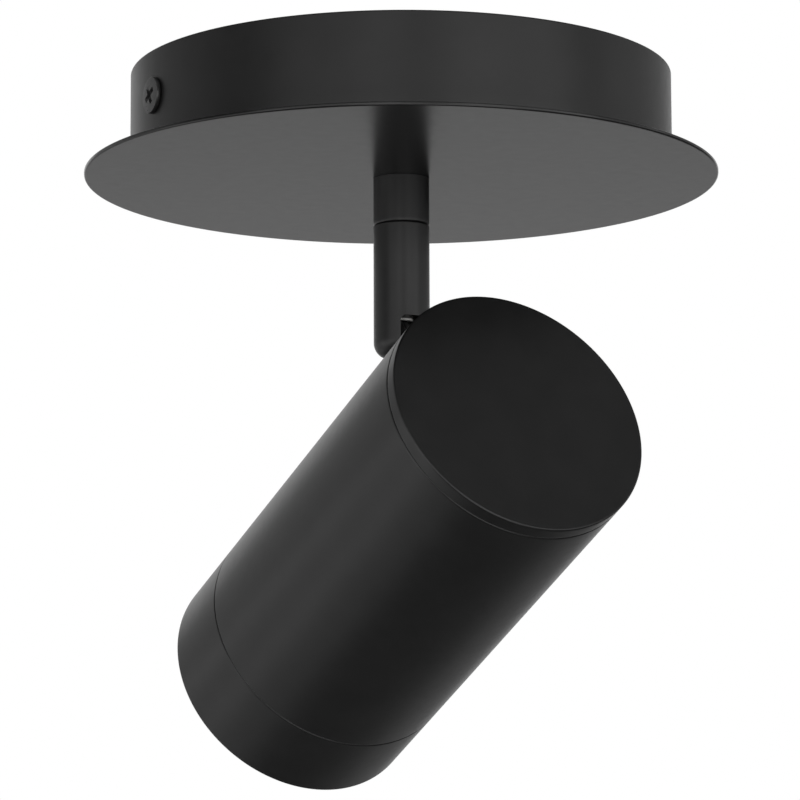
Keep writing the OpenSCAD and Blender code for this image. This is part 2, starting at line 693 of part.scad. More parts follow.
// The tongue on its round foot and hollow stud, with the channel that the cores take past the pivot
module knuckle() color(coat) at_pivot() difference() {
    foot_at = head_gap - knuckle_foot_h;
    union() {
        rotate([0, 90, 0])
            chamfered(tongue_w / 2, -tongue_t / 2, tongue_t / 2, tongue_chamfer, tongue_chamfer);
        rotate([-90, 0, 0]) linear_extrude(foot_at + 1) chamfered_bar(tongue_t, tongue_w, tongue_chamfer);
        difference() {
            translate([0, foot_at, 0]) rotate([-90, 0, 0])
                cylinder(d = knuckle_foot_d, h = knuckle_foot_h + 2);
            translate([0, head_off, -head_back]) cylinder(r = head_r + thread_gap, h = head_l);
        }
        translate([0, foot_at, 0]) rotate([-90, 0, 0])
            cylinder(d = stud_d, h = head_off - foot_at - stud_end_y);
    }
    rotate([0, 90, 0]) cylinder(d = pivot_d + 2 * run_gap, h = 2 * stem_d, center = true);
    for (x = [-1, 1]) translate([(tongue_t / 2 - friction_in + past) * x, 0, 0]) rotate([0, 90, 0])
        cylinder(d = friction_d + 2 * pass_gap, h = 2 * past, center = true);
    translate([-channel_t / 2, -tongue_w, -channel_w / 2]) cube([channel_t, foot_at + tongue_w, channel_w]);
    translate([-channel_t / 2, -tongue_w, -tongue_w]) cube([channel_t, tongue_w + pivot_d / 2, tongue_w]);
    translate([0, foot_at - past, 0]) rotate([-90, 0, 0]) cylinder(d = stud_bore, h = head_off);
}
module friction_washers() color(white) at_pivot() for (x = [0, 1]) mirror([x, 0, 0]) difference() {
    translate([tongue_t / 2 - friction_in, 0, 0]) rotate([0, 90, 0])
        cylinder(d = friction_d, h = friction_in + tongue_gap - run_gap / 2);
    rotate([0, 90, 0]) cylinder(d = pivot_d + 2 * rest_gap, h = stem_d);
}
// Two cores past the pivot screw, from the sheath's end into the knuckle's channel
function above_pivot(x, h) = [x, -h * sin(tilt_rest), -h * cos(tilt_rest)];
cores_rise = pivot_drop - sheath_end - rest_gap;
module pivot_cores() at_pivot() for (side = [-1, 1]) color(side < 0 ? live : neutral)
    core([above_pivot(core_x * side, cores_rise), above_pivot(core_x * side, cores_rise - 1.8),
        [core_x * side, -1, core_pass], [core_x * side, core_split, core_pass]], core_d / 2);

module head_cores() at_head() for (side = [-1, 1]) color(side < 0 ? live : neutral) {
    y0 = core_split - head_off;
    x = core_x * side;
    px = pin_r * side;
    core([[x, y0, head_back + core_pass], [x, y0 + channel_in, head_back + core_pass * 0.9],
        [x, y0 + channel_end, head_back - 0.3], [x, -stud_end_y - 2, head_back],
        [x, -stud_end_y + 0.6, head_back - 0.4], [x, -window_y, holder_at + window_lead],
        [x, -window_y, holder_at - bracket_t / 2], [x + side, -window_y + 0.6, turn_at],
        [px * 0.7, -window_y * 0.62, run_at], [px, -run_end, run_at], [px, -0.6, holder_at - run_end],
        [px, 0, holder_at - 1.5], [px, 0, holder_at + contact_in]], core_d / 2);
}

module on_stud(y) at_head() translate([0, -y, head_back]) rotate([-90, 0, 0]) children();
module knuckle_washer() color(zinc) on_stud(washer_y) difference() {
    cylinder(d = knuckle_washer_d, h = knuckle_washer_t);
    down(past) cylinder(d = stud_d + 2 * pass_gap, h = knuckle_washer_t + 2 * past);
}
module knuckle_nut() color(zinc) on_stud(nut_y) difference() {
    cylinder(d = knuckle_nut_d, h = knuckle_nut_t, $fn = 6);
    down(past) cylinder(d = stud_d + 2 * thread_gap, h = knuckle_nut_t + 2 * past);
}

module head_housing() color(coat) at_head() difference() {
    union() {
        chamfered(head_r, cap_l + head_seam, bezel_at, head_chamfer, head_chamfer);
        cylinder(r = spigot_r, h = bezel_at + spigot_l);
    }
    translate([0, 0, -past]) cylinder(r = tube_r, h = head_l);
    translate([0, 0, -past]) cylinder(r = head_d, h = past + cap_l + head_seam);
    translate([0, 0, head_back]) rotate([90, 0, 0]) cylinder(d = stud_d + 2 * pass_gap, h = head_d);
}
module rear_cap() color(coat) at_head() {
    chamfered(head_r, 0, cap_l, head_chamfer, head_chamfer);
    difference() {
        cylinder(r = tube_r - run_gap, h = cap_l + cap_spigot_l);
        translate([0, 0, cap_l]) cylinder(r = tube_r - cap_spigot_wall, h = cap_spigot_l + past);
    }
}
module front_bezel() color(coat) at_head() difference() {
    chamfered(head_r, bezel_at + head_seam, head_l, head_chamfer, head_chamfer);
    cylinder(r = spigot_r + run_gap, h = bezel_at + spigot_l + 0.3);
    cylinder(r = tube_r, h = head_l - front_lip_t);
    cylinder(d = opening_d, h = head_l + past);
}

module holder_bracket() color(zinc) at_head() difference() {
    union() {
        translate([-leg_w / 2, -leg_y, holder_at - bracket_t]) cube([leg_w, bracket_t, leg_l]);
        translate([-leg_w / 2, -leg_y, holder_at - bracket_t]) cube([leg_w, leg_y, bracket_t]);
        translate([0, 0, holder_at - bracket_t]) cylinder(r = bracket_plate_r, h = bracket_t);
    }
    translate([0, 0, head_back]) rotate([90, 0, 0]) cylinder(d = stud_d + 2 * pass_gap, h = head_d);
    for (y = [-1, 1]) translate([0, y * holder_screw_spacing / 2, holder_at - bracket_t - past])
        cylinder(d = holder_screw_d + 2 * pass_gap, h = bracket_t + 2 * past);
    for (x = [-1, 1]) translate([pin_r * x, 0, holder_at - bracket_t - past])
        cylinder(r = core_hole_r + 0.5, h = bracket_t + 2 * past);
    translate([-window_w / 2, -window_y - window_h / 2, holder_at - bracket_t - past])
        cube([window_w, window_h, bracket_t + 2 * past]);
}
module holder_screws() color(zinc) at_head() for (y = [-1, 1])
    translate([0, y * holder_screw_spacing / 2, holder_at - bracket_t]) rotate([180, 0, 0])
        domed_screw(holder_screw_d, holder_screw_l, small_head_d, small_head_h, 2.8, 0.7, 25 * y);

// Curved slots about the head's axis, in which round pins of radius r swing through the lamp's twist
module twist_slot(r, z0, h) for (side = [0, 180]) rotate(side) translate([0, 0, z0]) linear_extrude(h) {
    reach = 2 * pin_spacing;
    intersection() {
        difference() {
            circle(pin_r + r);
            circle(pin_r - r);
        }
        polygon([[0, 0], [reach, 0], [reach * cos(twist_range), reach * sin(twist_range)]]);
    }
    for (a = [0, twist_range]) rotate(a) translate([pin_r, 0]) circle(r + thread_gap);
}
pin_play = 0.35;
module lampholder() color(white) at_head() difference() {
    translate([0, 0, holder_at]) cylinder(d = holder_d, h = holder_h);
    twist_slot(pin_neck_d / 2 + pin_play, chamber_floor + 0.1, holder_h);
    twist_slot(pin_head_d / 2 + pin_play, chamber_floor, chamber_h);
    for (side = [0, 180]) rotate(side) {
        rotate(twist_range) translate([pin_r, 0, chamber_floor + 0.1])
            cylinder(d = pin_head_d + 2 * pin_play, h = holder_h);
        translate([pin_r, 0, holder_at - past]) cylinder(r = core_hole_r, h = holder_h - chamber_h);
    }
    for (y = [-1, 1]) translate([0, y * holder_screw_spacing / 2, holder_at - past])
        cylinder(d = holder_screw_d + 2 * thread_gap, h = holder_screw_l);
}
// Contact plates at the bottom of the chambers, each with a tail towards its core
module holder_contacts() color(brass) at_head() for (side = [-1, 1]) translate([pin_r * side, 0, 0]) {
    translate([0, 0, chamber_floor]) cylinder(d = pin_head_d - 0.4, h = pin_tip - chamber_floor - 0.2);
    translate([0, 0, chamber_floor - contact_tail_l])
        cylinder(r = core_hole_r - thread_gap, h = contact_tail_l + 0.1);
}

module lamp_base() color(white) at_head() difference() {
    translate([0, 0, lamp_at]) cylinder(d = lamp_base_d, h = lamp_base_h);
    for (side = [-1, 1]) translate([pin_r * side, 0, lamp_at - past])
        cylinder(d = pin_neck_d + 2 * thread_gap, h = pin_in + past + rest_gap);
}
module lamp_pins() color(zinc) at_head() for (side = [-1, 1]) translate([pin_r * side, 0, 0]) {
    translate([0, 0, pin_tip]) cylinder(d = pin_head_d, h = pin_head_h);
    translate([0, 0, pin_tip + pin_head_h - 0.1]) cylinder(d = pin_neck_d, h = pin_neck_l + pin_in + 0.1);
}
module lamp_body() color(white) at_head() difference() {
    lamp_r = lamp_d / 2;
    rotate_extrude() polygon([[0, lamp_at + lamp_base_h], [lamp_base_d / 2, lamp_at + lamp_base_h],
        [lamp_r, lamp_face - lamp_rim_h], [lamp_r, lamp_face], [0, lamp_face]]);
    translate([0, 0, shoulder_at]) cylinder(r = lamp_r - lamp_wall, h = lamp_l);
    translate([0, 0, shoulder_at - lamp_cavity_h]) cylinder(r = lamp_cavity_r, h = lamp_l);
}
module led_board() color(white) at_head() {
    floor_at = shoulder_at - lamp_cavity_h;
    translate([0, 0, floor_at]) cylinder(r = lamp_cavity_r - rest_gap, h = board_t);
    for (a = [0 : 60 : 300]) rotate(a) translate([lamp_cavity_r * 0.55, 0, floor_at + board_t])
        translate([-1.75, -1.75, 0]) cube([3.5, 3.5, 0.8]);
}
module lamp_lens() color("#f4f4f0") at_head() translate([0, 0, shoulder_at])
    cylinder(r = lamp_d / 2 - lamp_wall - rest_gap, h = lens_t);

canopy_drum();
flange_plate();
ceiling_bracket();
canopy_screws();
earth_screw();
earth_tags();
earth_leads();
stem_nipple();
nipple_nut();
lock_washer();
flat_washer();
cable_bush();
cable_canopy();
supply_cores();
terminal_block();
terminal_inserts();
terminal_screws();
terminal_fixing_screws();
stem_collar();
stem_rod();
swivel_washer();
swivel_nut();
stop_pin();
stem_cable();
pivot_screw();
pivot_cores();
knuckle();
friction_washers();
knuckle_washer();
knuckle_nut();
head_housing();
rear_cap();
front_bezel();
holder_bracket();
holder_screws();
lampholder();
holder_contacts();
head_cores();
lamp_base();
lamp_body();
led_board();
lamp_lens();
lamp_pins();
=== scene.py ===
import math

import bmesh
import bpy
from mathutils import Matrix, Vector

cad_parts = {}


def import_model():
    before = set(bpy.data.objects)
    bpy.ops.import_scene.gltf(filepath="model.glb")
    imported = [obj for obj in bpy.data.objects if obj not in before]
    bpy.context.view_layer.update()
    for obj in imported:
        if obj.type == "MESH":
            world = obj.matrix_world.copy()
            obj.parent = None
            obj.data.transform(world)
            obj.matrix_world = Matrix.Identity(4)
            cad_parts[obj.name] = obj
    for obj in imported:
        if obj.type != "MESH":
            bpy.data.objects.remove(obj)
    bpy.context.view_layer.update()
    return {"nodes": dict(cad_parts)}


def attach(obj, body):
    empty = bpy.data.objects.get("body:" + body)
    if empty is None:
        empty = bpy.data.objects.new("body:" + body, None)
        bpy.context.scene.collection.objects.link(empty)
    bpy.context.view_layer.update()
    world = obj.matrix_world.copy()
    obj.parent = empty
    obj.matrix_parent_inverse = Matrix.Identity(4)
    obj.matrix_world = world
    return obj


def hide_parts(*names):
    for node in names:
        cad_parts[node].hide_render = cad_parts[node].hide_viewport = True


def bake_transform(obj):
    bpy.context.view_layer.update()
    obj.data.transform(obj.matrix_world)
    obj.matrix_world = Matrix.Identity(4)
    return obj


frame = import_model()

# Lengths below are in millimetres and angles in degrees. Meshes are scaled to metres when they are made.
MM = 0.001
ROUND = 192          # sides of the large turned pieces
ROUND_SMALL = 96     # sides of the small ones
ROUND_TINY = 32      # sides of the chips' dishes
ARC_STEPS = (4, 12)  # least and most faces across a rounded edge
CORE_SIDES = 20      # sides of a core
CREASE = 35          # edges sharper than this many degrees stay sharp
NOISE_LOW, NOISE_HIGH = 0.3, 0.7  # the span that most of a noise lies in

# Screws and nuts
DOME_SHARES = (0.15, 0.3, 0.45, 0.6, 0.75, 0.87, 0.94)  # where a dome's rings lie, as shares of its radius
THREAD_DEPTH, RECESS_DEPTH = 0.61, 0.65                 # shares of the pitch and of the head's height
CORNER_CUT, NUT_CHAMFER = 0.58, 0.45                    # share of a corner's overhang, and a width

# The canopy
FLANGE_R, FLANGE_T = 68.0, 0.8
DRUM_R, DRUM_H, DRUM_WALL, DRUM_BEND = 58.15, 21.5, 1.0, 2.4
FLANGE_Z = -(DRUM_H + FLANGE_T)
HOLE_R = 5.15
SIDE_Z = -10.0
SIDE_HOLE_R = 2.15
FIXING = (18.0, -32.5)
FIXING_HOLE_R = 1.55
BLOCK_FOOT_Z = -17.5
EARTH_SCREW_X, STRAP_UNDER_Z = 16.5, -2.3
NIPPLE_R, NIPPLE_CORE_R, NIPPLE_BORE_R, NIPPLE_TIP_R, NIPPLE_PITCH = 5, 4.4, 3.5, 4.3, 1
NIPPLE_TOP, NIPPLE_END, NIPPLE_NUT_Z = -13.2, -26.5, -17.7

# The wiring in the canopy, which repeats the part's own points
BLOCK_AT, INSERT_DROP, POLE_PITCH, CORE_X, CORE_R = 24, 14, 10, 0.7, 0.6
BEFORE_POLE, INTO_POLE = 2.5, 4
SUPPLY_FROM_Z = -10.9
STEM_TAG = (0, -11.2, -18.3)
STRAP_TAG = (EARTH_SCREW_X, -11.2, -2.1)

# The stem
STEM_R = 6.0
COLLAR_END = -32.6
LIP_TOP = -30.0
COLLAR_BORE_R, LIP_BORE_R = 5.05, 3.65
STOP_R, STOP_GROOVE_W, STOP_GROOVE_H = 4.8, 1.1, 1.4
ROD_TOP, ROD_END, FOOT_BEND = -32.75, -61.5, 3.4
NECK_R, NECK_TOP, STEM_NUT_Z = 3.6, -27.1, -29.2
CABLE_BORE_R, CABLE_BORE_END = 2.2, -54
STOP_PIN_R, PAN_LIMIT, STOP_PLAY = 0.4, 170, 0.5
STOP_HOLE_R = 0.425
SLOT_HALF, SLOT_ROOF, SLOT_CORNER = 3.1, -53.0, 1.2
PIVOT_Z = -57.5
PIVOT_HOLE_R, PIVOT_HEAD_HOLE_R, PIVOT_HEAD_SEAT = 1.55, 2.65, 4.083
PAN_REST, TILT_REST = 2.2, 65.65
BUSH_BORE_R, BUSH_R, BUSH_LIP_R = 1.65, 2.15, 2.5
BUSH_TOP, BUSH_LIP_H, BUSH_PLAY = -51.9, 0.5, 0.02
KNUCKLE_SWEEP_R = 4.35

# The head, along its own axis from the rear face
HEAD_R, TUBE_R, SPIGOT_R = 28.4, 26.4, 27.4
CAP_L, SEAM, BEZEL_AT, HEAD_L = 3.05, 0.1, 87.8, 107.7
CAP_SPIGOT_R, CAP_BORE_R, CAP_SPIGOT_END = 26.35, 24.4, 8.05
SPIGOT_END = BEZEL_AT + 8.0
HEAD_OFF, HEAD_BACK = 41.1, 35.4
LIP_T, OPENING_R = 2.0, 25.6
RING_BORE_R, RING_STEP_AT = 27.45, 96.1
STUD_HOLE_R, STUD_END_Y, STUD_NUT_Y = 4.15, 19.81, -23.609
PIN_R = 5.0
HOLDER_SCREW_Y, HOLDER_SCREW_AT = 7.5, 26.8

# The lamp
LAMP_R, LAMP_AT, LAMP_FACE = 25.0, 46.3, 100.3
LAMP_BASE_H, LAMP_BASE_R, LAMP_RIM_H = 12.0, 12.5, 9.0
LAMP_WALL, LENS_SEAT, LENS_R, LENS_OUT = 1.4, LAMP_FACE - 4, LAMP_R - 1.5, LAMP_FACE - 0.8
WELL_R, BOARD_R, BOARD_SEAT, BOARD_TOP = LAMP_R - 5, LAMP_R - 5.1, LAMP_FACE - 16, LAMP_FACE - 14.4
CHIP, CHIP_H, CHIPS_AT = 3.5, 0.8, 11.0
DISH_R, DISH_RIM_R, DISH_FLOOR, OVER_CHIP = 1.25, 1.55, CHIP_H - 0.3, CHIP_H + 0.05

# The studio, in metres but for its noise
FLOOR_R, FLOOR_Z = 20.0, -2.4
NEAR_FLOOR_R, NEAR_FLOOR_Z = 2.9, -2.39
PANEL_R, PANEL_Z = 2.6, 2.0
WALL_R, WALL_OPEN_LEFT, WALL_OPEN_RIGHT = 3.0, 38, 26
FLOOR_GREY, NEAR_FLOOR_GREY, SEEN_GREY, PANEL_GREY, WALL_GREY = 0.6, 0.32, 0.8, 0.6, 0.25
STAGE_SIDES, STAGE_ROUGHNESS, STAGE_NOISE, STAGE_GREY_STEP = 96, 0.85, 900, 0.01
WORLD_LEVEL = 0.64
OBJECT_MIDDLE = (0, 0, -0.07)
SOFT_LIGHT_SIZE, SOFT_LIGHT_AWAY = (1.6, 0.9), 1.6
SOFT_LIGHTS = {  # angle round the object from the camera's side, angle above the horizon, watts
    "front_low": (15, -32, 12.0), "right_front": (45, 5, 8.5), "left": (-65, -13, 7.2), "left_front": (-25, 3, 7.1),
    "front": (10, 4, 5.0), "right": (80, 2, 4.0), "left_rear_low": (-110, -40, 2.4), "left_rear": (-110, -18, 2.3),
    "left_rear_upper": (-110, 6, 2.1), "right_rear": (125, 20, 2.0), "right_high": (50, 65, 1.5),
}

# The camera: its turn, pitch and roll, its place and its lens in millimetres, and its reach in metres
VIEW_TURN, VIEW_PITCH, VIEW_ROLL = 26.804, 9.87, -0.20
VIEW_FROM = (-433.56, -857.19, -237.54)
LENS_MM, FILM_MM = 205.99, 36
NEAR_END, FAR_END = 0.05, 60


def turn(axis, angle):
    """A turn about an axis, in degrees."""
    return Matrix.Rotation(math.radians(angle), 4, axis)


def shift(x, y, z):
    """A shift, in millimetres."""
    return Matrix.Translation((x, y, z))


PIVOT = shift(0, 0, PIVOT_Z) @ turn("Z", PAN_REST) @ turn("X", 180 + TILT_REST)
HEAD = PIVOT @ shift(0, HEAD_OFF, -HEAD_BACK)


# ---- mesh helpers

def rounded(corners):
    """An outline through (x, y, radius) corners, with the corners rounded.

    A point close to each end of an arc keeps the faces beside it flat.
    """
    out = []
    for i, (x, y, radius) in enumerate(corners):
        p = Vector((x, y))
        if not radius:
            out.append((x, y))
            continue
        a = Vector(corners[i - 1][:2]) - p
        b = Vector(corners[(i + 1) % len(corners)][:2]) - p
        short = min(a.length, b.length)
        a.normalize()
        b.normalize()
        half = a.angle(b) / 2
        cut = radius / math.tan(half)
        centre = p + (a + b).normalized() * radius / math.sin(half)
        guard = max(min(radius, (short - cut) * 0.3), 0)
        start, end = p + a * cut - centre, p + b * cut - centre
        steps = min(ARC_STEPS[1], ARC_STEPS[0] + round(radius * 3))
        swing = math.atan2(start.x * end.y - start.y * end.x, start.dot(end))
        if guard > 0.001:
            out.append(tuple(p + a * (cut + guard)))
        for k in range(steps + 1):
            c, s = math.cos(swing * k / steps), math.sin(swing * k / steps)
            out.append((centre.x + c * start.x - s * start.y, centre.y + s * start.x + c * start.y))
        if guard > 0.001:
            out.append(tuple(p + b * (cut + guard)))
    return out


def ring_row(r, z, sides):
    """One row of a turned mesh: a ring, or a single point on the axis."""
    if r < 1e-6:
        return [(0.0, 0.0, z)]
    return [(r * math.cos(math.tau * k / sides), r * math.sin(math.tau * k / sides), z) for k in range(sides)]


def thread_rows(major, minor, pitch, z0, z1, sides, per_turn=8):
    """Rows of a screw thread between two heights, fading out at both ends."""
    rows = []
    count = max(2, round(abs(z1 - z0) / pitch * per_turn))
    for j in range(count + 1):
        z = z0 + (z1 - z0) * j / count
        fade = min(1, abs(z - z0) / pitch, abs(z1 - z) / pitch)
        row = []
        for k in range(sides):
            a = math.tau * k / sides
            phase = (z / pitch - k / sides) % 1
            crest = min(1, max(0, 1.5 - abs(phase - 0.5) * 4))
            r = minor + (major - minor) * crest * fade
            row.append((r * math.cos(a), r * math.sin(a), z))
        rows.append(row)
    return rows


def skin(rows, closed):
    """Vertices and faces over rows of equal rings, or rings and end points. closed joins the last row to the first."""
    verts, index = [], []
    for row in rows:
        index.append(list(range(len(verts), len(verts) + len(row))))
        verts += row
    faces = []
    for a, b in zip(index, index[1:] + (index[:1] if closed else [])):
        sides = max(len(a), len(b))
        for k in range(sides if sides > 1 else 0):
            j = (k + 1) % sides
            if len(a) == 1:
                faces.append((a[0], b[k], b[j]))
            elif len(b) == 1:
                faces.append((a[k], b[0], a[j]))
            else:
                faces.append((a[k], b[k], b[j], a[j]))
    return verts, faces


def turned(outline, sides=ROUND):
    """A closed outline of (radius, height) points turned about Z."""
    return skin([ring_row(r, z, sides) for r, z in outline], True)


def turned_round(corners, sides=ROUND):
    """A turned shape whose outline has rounded corners."""
    return turned(rounded(corners), sides)


def prism(outline, z0, z1):
    """A flat outline drawn out between two heights."""
    n = len(outline)
    verts = [(x, y, z) for z in (z0, z1) for x, y in outline]
    faces = [tuple(range(n)), tuple(range(2 * n - 1, n - 1, -1))]
    faces += [(k, (k + 1) % n, n + (k + 1) % n, n + k) for k in range(n)]
    return verts, faces


def moved(shape, matrix):
    """The shape, turned and shifted."""
    verts, faces = shape
    return [tuple(matrix @ Vector(v)) for v in verts], faces


def joined(*shapes):
    """Several shapes as one."""
    verts, faces = [], []
    for v, f in shapes:
        faces += [tuple(i + len(verts) for i in face) for face in f]
        verts += v
    return verts, faces


def solid(name, shape):
    """Mesh object of a shape given in millimetres, with outward faces, smooth but for its sharp edges."""
    mesh = bpy.data.meshes.new(name)
    verts, faces = shape
    mesh.from_pydata([tuple(c * MM for c in v) for v in verts], [], faces)
    work = bmesh.new()
    work.from_mesh(mesh)
    bmesh.ops.remove_doubles(work, verts=work.verts, dist=1e-7)
    bmesh.ops.recalc_face_normals(work, faces=work.faces)
    work.to_mesh(mesh)
    work.free()
    mesh.shade_smooth()
    mesh.set_sharp_from_angle(angle=math.radians(CREASE))
    obj = bpy.data.objects.new(name, mesh)
    bpy.context.scene.collection.objects.link(obj)
    return obj


def carve(obj, shapes, how="DIFFERENCE"):
    """Cuts shapes away from the object, or keeps what lies in them, for good."""
    for k, shape in enumerate(shapes):
        tool = solid(f"{obj.name}_tool_{k}", shape)
        step = obj.modifiers.new("carve", "BOOLEAN")
        step.operation = how
        step.solver = "EXACT"
        step.object = tool
        settle(obj)
        drop(tool)
    obj.data.shade_smooth()
    obj.data.set_sharp_from_angle(angle=math.radians(CREASE))
    return obj


def settle(obj):
    """Makes the modifiers' result the object's own mesh."""
    bpy.context.view_layer.update()
    made = bpy.data.meshes.new_from_object(obj.evaluated_get(bpy.context.evaluated_depsgraph_get()))
    obj.modifiers.clear()
    old = obj.data
    obj.data = made
    made.name = obj.name
    bpy.data.meshes.remove(old)


def drop(obj):
    """Deletes an object and its mesh."""
    mesh = obj.data
    bpy.data.objects.remove(obj)
    bpy.data.meshes.remove(mesh)


def soften(obj, width, segments=2, angle=38):
    """Rounds an object's sharp edges a little and keeps its flat faces flat."""
    bevel = obj.modifiers.new("edges", "BEVEL")
    bevel.width = width * MM
    bevel.segments = segments
    bevel.limit_method = "ANGLE"
    bevel.angle_limit = math.radians(angle)
    bevel.use_clamp_overlap = True
    even = obj.modifiers.new("flats", "WEIGHTED_NORMAL")
    even.keep_sharp = False
    even.weight = 60
    return obj


def place(obj, body, slot, material, *nodes):
    """Finishes a piece: its material, the body it rides on and the part's nodes it stands for. The slot argument is
    not used.
    """
    obj.data.materials.clear()
    obj.data.materials.append(material)
    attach(obj, body)
    if nodes:
        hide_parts(*nodes)


# ---- material helpers

class Finish:
    """A new material with its main shader, and short ways to add nodes to it."""

    def __init__(self, name, **values):
        self.material = bpy.data.materials.new(name)
        self.material.use_nodes = True
        self.tree = self.material.node_tree
        self.shader = self.tree.nodes["Principled BSDF"]
        self.place = self.node("ShaderNodeTexCoord").outputs["Object"]
        for socket, value in values.items():
            self.put(socket.replace("_", " "), value)

    def put(self, socket, value):
        """Sets a plain value on the shader's own socket."""
        self.shader.inputs[socket].default_value = (*value, 1) if isinstance(value, tuple) else value

    def node(self, kind, **values):
        """A new node with its settings."""
        made = self.tree.nodes.new(kind)
        for key, value in values.items():
            setattr(made, key, value)
        return made

    def link(self, a, b):
        """Joins an output to an input."""
        self.tree.links.new(a, b)

    def noise(self, size, detail=3, rough=0.55, stretch=None):
        """Noise with features about size millimetres across."""
        made = self.node("ShaderNodeTexNoise")
        made.inputs["Scale"].default_value = 1 / (size * MM)
        made.inputs["Detail"].default_value = detail
        made.inputs["Roughness"].default_value = rough
        source = self.place
        if stretch:
            fit = self.node("ShaderNodeMapping")
            fit.inputs["Scale"].default_value = stretch
            self.link(source, fit.inputs["Vector"])
            source = fit.outputs["Vector"]
        self.link(source, made.inputs["Vector"])
        return made.outputs["Fac"]

    def between(self, fac, low, high):
        """A number that follows a noise from low to high."""
        made = self.node("ShaderNodeMapRange")
        for key, value in (("From Min", NOISE_LOW), ("From Max", NOISE_HIGH), ("To Min", low), ("To Max", high)):
            made.inputs[key].default_value = value
        self.link(fac, made.inputs["Value"])
        return made.outputs["Result"]

    def colours(self, fac, *stops):
        """A colour that follows fac through (place, (r, g, b)) stops."""
        made = self.node("ShaderNodeValToRGB")
        ramp = made.color_ramp
        while len(ramp.elements) < len(stops):
            ramp.elements.new(0.5)
        for element, (at, colour) in zip(ramp.elements, stops):
            element.position = at
            element.color = (*colour, 1)
        self.link(fac, made.inputs["Fac"])
        return made.outputs["Color"]

    def shades(self, fac, dark, light):
        """A colour that follows a noise from dark to light."""
        return self.colours(fac, (NOISE_LOW, dark), (NOISE_HIGH, light))

    def grain(self, height, depth, before=None):
        """Bump of a height pattern, depth millimetres deep, on top of an earlier one."""
        made = self.node("ShaderNodeBump")
        made.inputs["Distance"].default_value = depth * MM
        self.link(height, made.inputs["Height"])
        if before:
            self.link(before, made.inputs["Normal"])
        return made.outputs["Normal"]

    def feed(self, socket, output):
        """Links an output to the shader."""
        self.link(output, self.shader.inputs[socket])


def grey(v):
    """A neutral colour."""
    return (v, v, v)


def powder_coat(name, ripple, specks, rough, gloss):
    """Satin black powder: fine specks over soft ripples, both given by their width in millimetres."""
    relief, spread = 0.0012, 0.012
    f = Finish(name, Specular_IOR_Level=gloss)
    f.feed("Base Color", f.shades(f.noise(9, 2), grey(0.0045), grey(0.0065)))
    f.feed("Roughness", f.between(f.noise(ripple * 2.5, 3), rough - spread, rough + spread))
    ripples = f.grain(f.noise(ripple, 2), relief)
    f.feed("Normal", f.grain(f.noise(specks, 2, 0.6), relief, ripples))
    return f.material


def screw_paint():
    """Black paint on the side screws, a little worn and paler than the powder."""
    f = Finish("screw_paint", Specular_IOR_Level=0.4)
    f.feed("Base Color", f.shades(f.noise(1.5, 2), grey(0.012), grey(0.02)))
    f.feed("Roughness", f.between(f.noise(0.6, 3), 0.26, 0.36))
    f.feed("Normal", f.grain(f.noise(0.3, 2), 0.004))
    return f.material


def zinc_plate():
    """Zinc plate with a faint blue and straw tint, drawn out along the rolling direction."""
    f = Finish("zinc_plate", Metallic=1.0)
    blue, plain, straw = (0.58, 0.61, 0.66), grey(0.66), (0.68, 0.65, 0.58)
    f.feed("Base Color", f.colours(f.noise(7, 3), (0.25, blue), (0.5, plain), (0.8, straw)))
    f.feed("Roughness", f.between(f.noise(0.5, 4, stretch=(1, 8, 1)), 0.24, 0.42))
    f.feed("Normal", f.grain(f.noise(0.25, 3, stretch=(1, 10, 1)), 0.004))
    return f.material


def bare_brass():
    """Drawn brass, a little dulled in places."""
    f = Finish("bare_brass", Metallic=1.0)
    f.feed("Base Color", f.shades(f.noise(3, 3), (0.70, 0.52, 0.23), (0.80, 0.62, 0.30)))
    f.feed("Roughness", f.between(f.noise(0.4, 4), 0.2, 0.36))
    f.feed("Normal", f.grain(f.noise(0.2, 3), 0.003))
    return f.material


def nickel_plate():
    """Bright nickel on the lamp's pins."""
    f = Finish("nickel_plate", Metallic=1.0)
    f.feed("Base Color", f.shades(f.noise(2, 2), (0.66, 0.64, 0.58), (0.72, 0.70, 0.65)))
    f.feed("Roughness", f.between(f.noise(0.5, 3), 0.12, 0.22))
    return f.material


def soft_sheath():
    """Black cable sheath with a fine matt skin."""
    f = Finish("soft_sheath", Specular_IOR_Level=0.4)
    f.feed("Base Color", f.shades(f.noise(2, 2), grey(0.018), grey(0.026)))
    f.feed("Roughness", f.between(f.noise(0.8, 3), 0.48, 0.6))
    f.feed("Normal", f.grain(f.noise(0.15, 2, stretch=(1, 1, 0.3)), 0.004))
    return f.material


def insulation(name, dark, light):
    """The coloured insulation of a core."""
    f = Finish(name, Specular_IOR_Level=0.45)
    f.feed("Base Color", f.shades(f.noise(1.2, 2), dark, light))
    f.feed("Roughness", f.between(f.noise(0.5, 2), 0.34, 0.46))
    f.feed("Normal", f.grain(f.noise(0.12, 2), 0.002))
    return f.material


def striped_insulation():
    """Green insulation with two yellow stripes along the core."""
    green, yellow = (0.03, 0.27, 0.04), (0.78, 0.62, 0.03)
    f = Finish("striped_insulation", Specular_IOR_Level=0.45)
    split = f.node("ShaderNodeSeparateXYZ")
    around = f.node("ShaderNodeUVMap")
    f.link(around.outputs["UV"], split.inputs["Vector"])
    wave = f.node("ShaderNodeMath", operation="PINGPONG")
    wave.inputs[1].default_value = 0.25
    f.link(split.outputs["X"], wave.inputs[0])
    f.feed("Base Color", f.colours(wave.outputs[0], (0.0, green), (0.125, green), (0.135, yellow), (0.25, yellow)))
    f.feed("Roughness", f.between(f.noise(0.5, 2), 0.34, 0.46))
    f.feed("Normal", f.grain(f.noise(0.12, 2), 0.002))
    return f.material


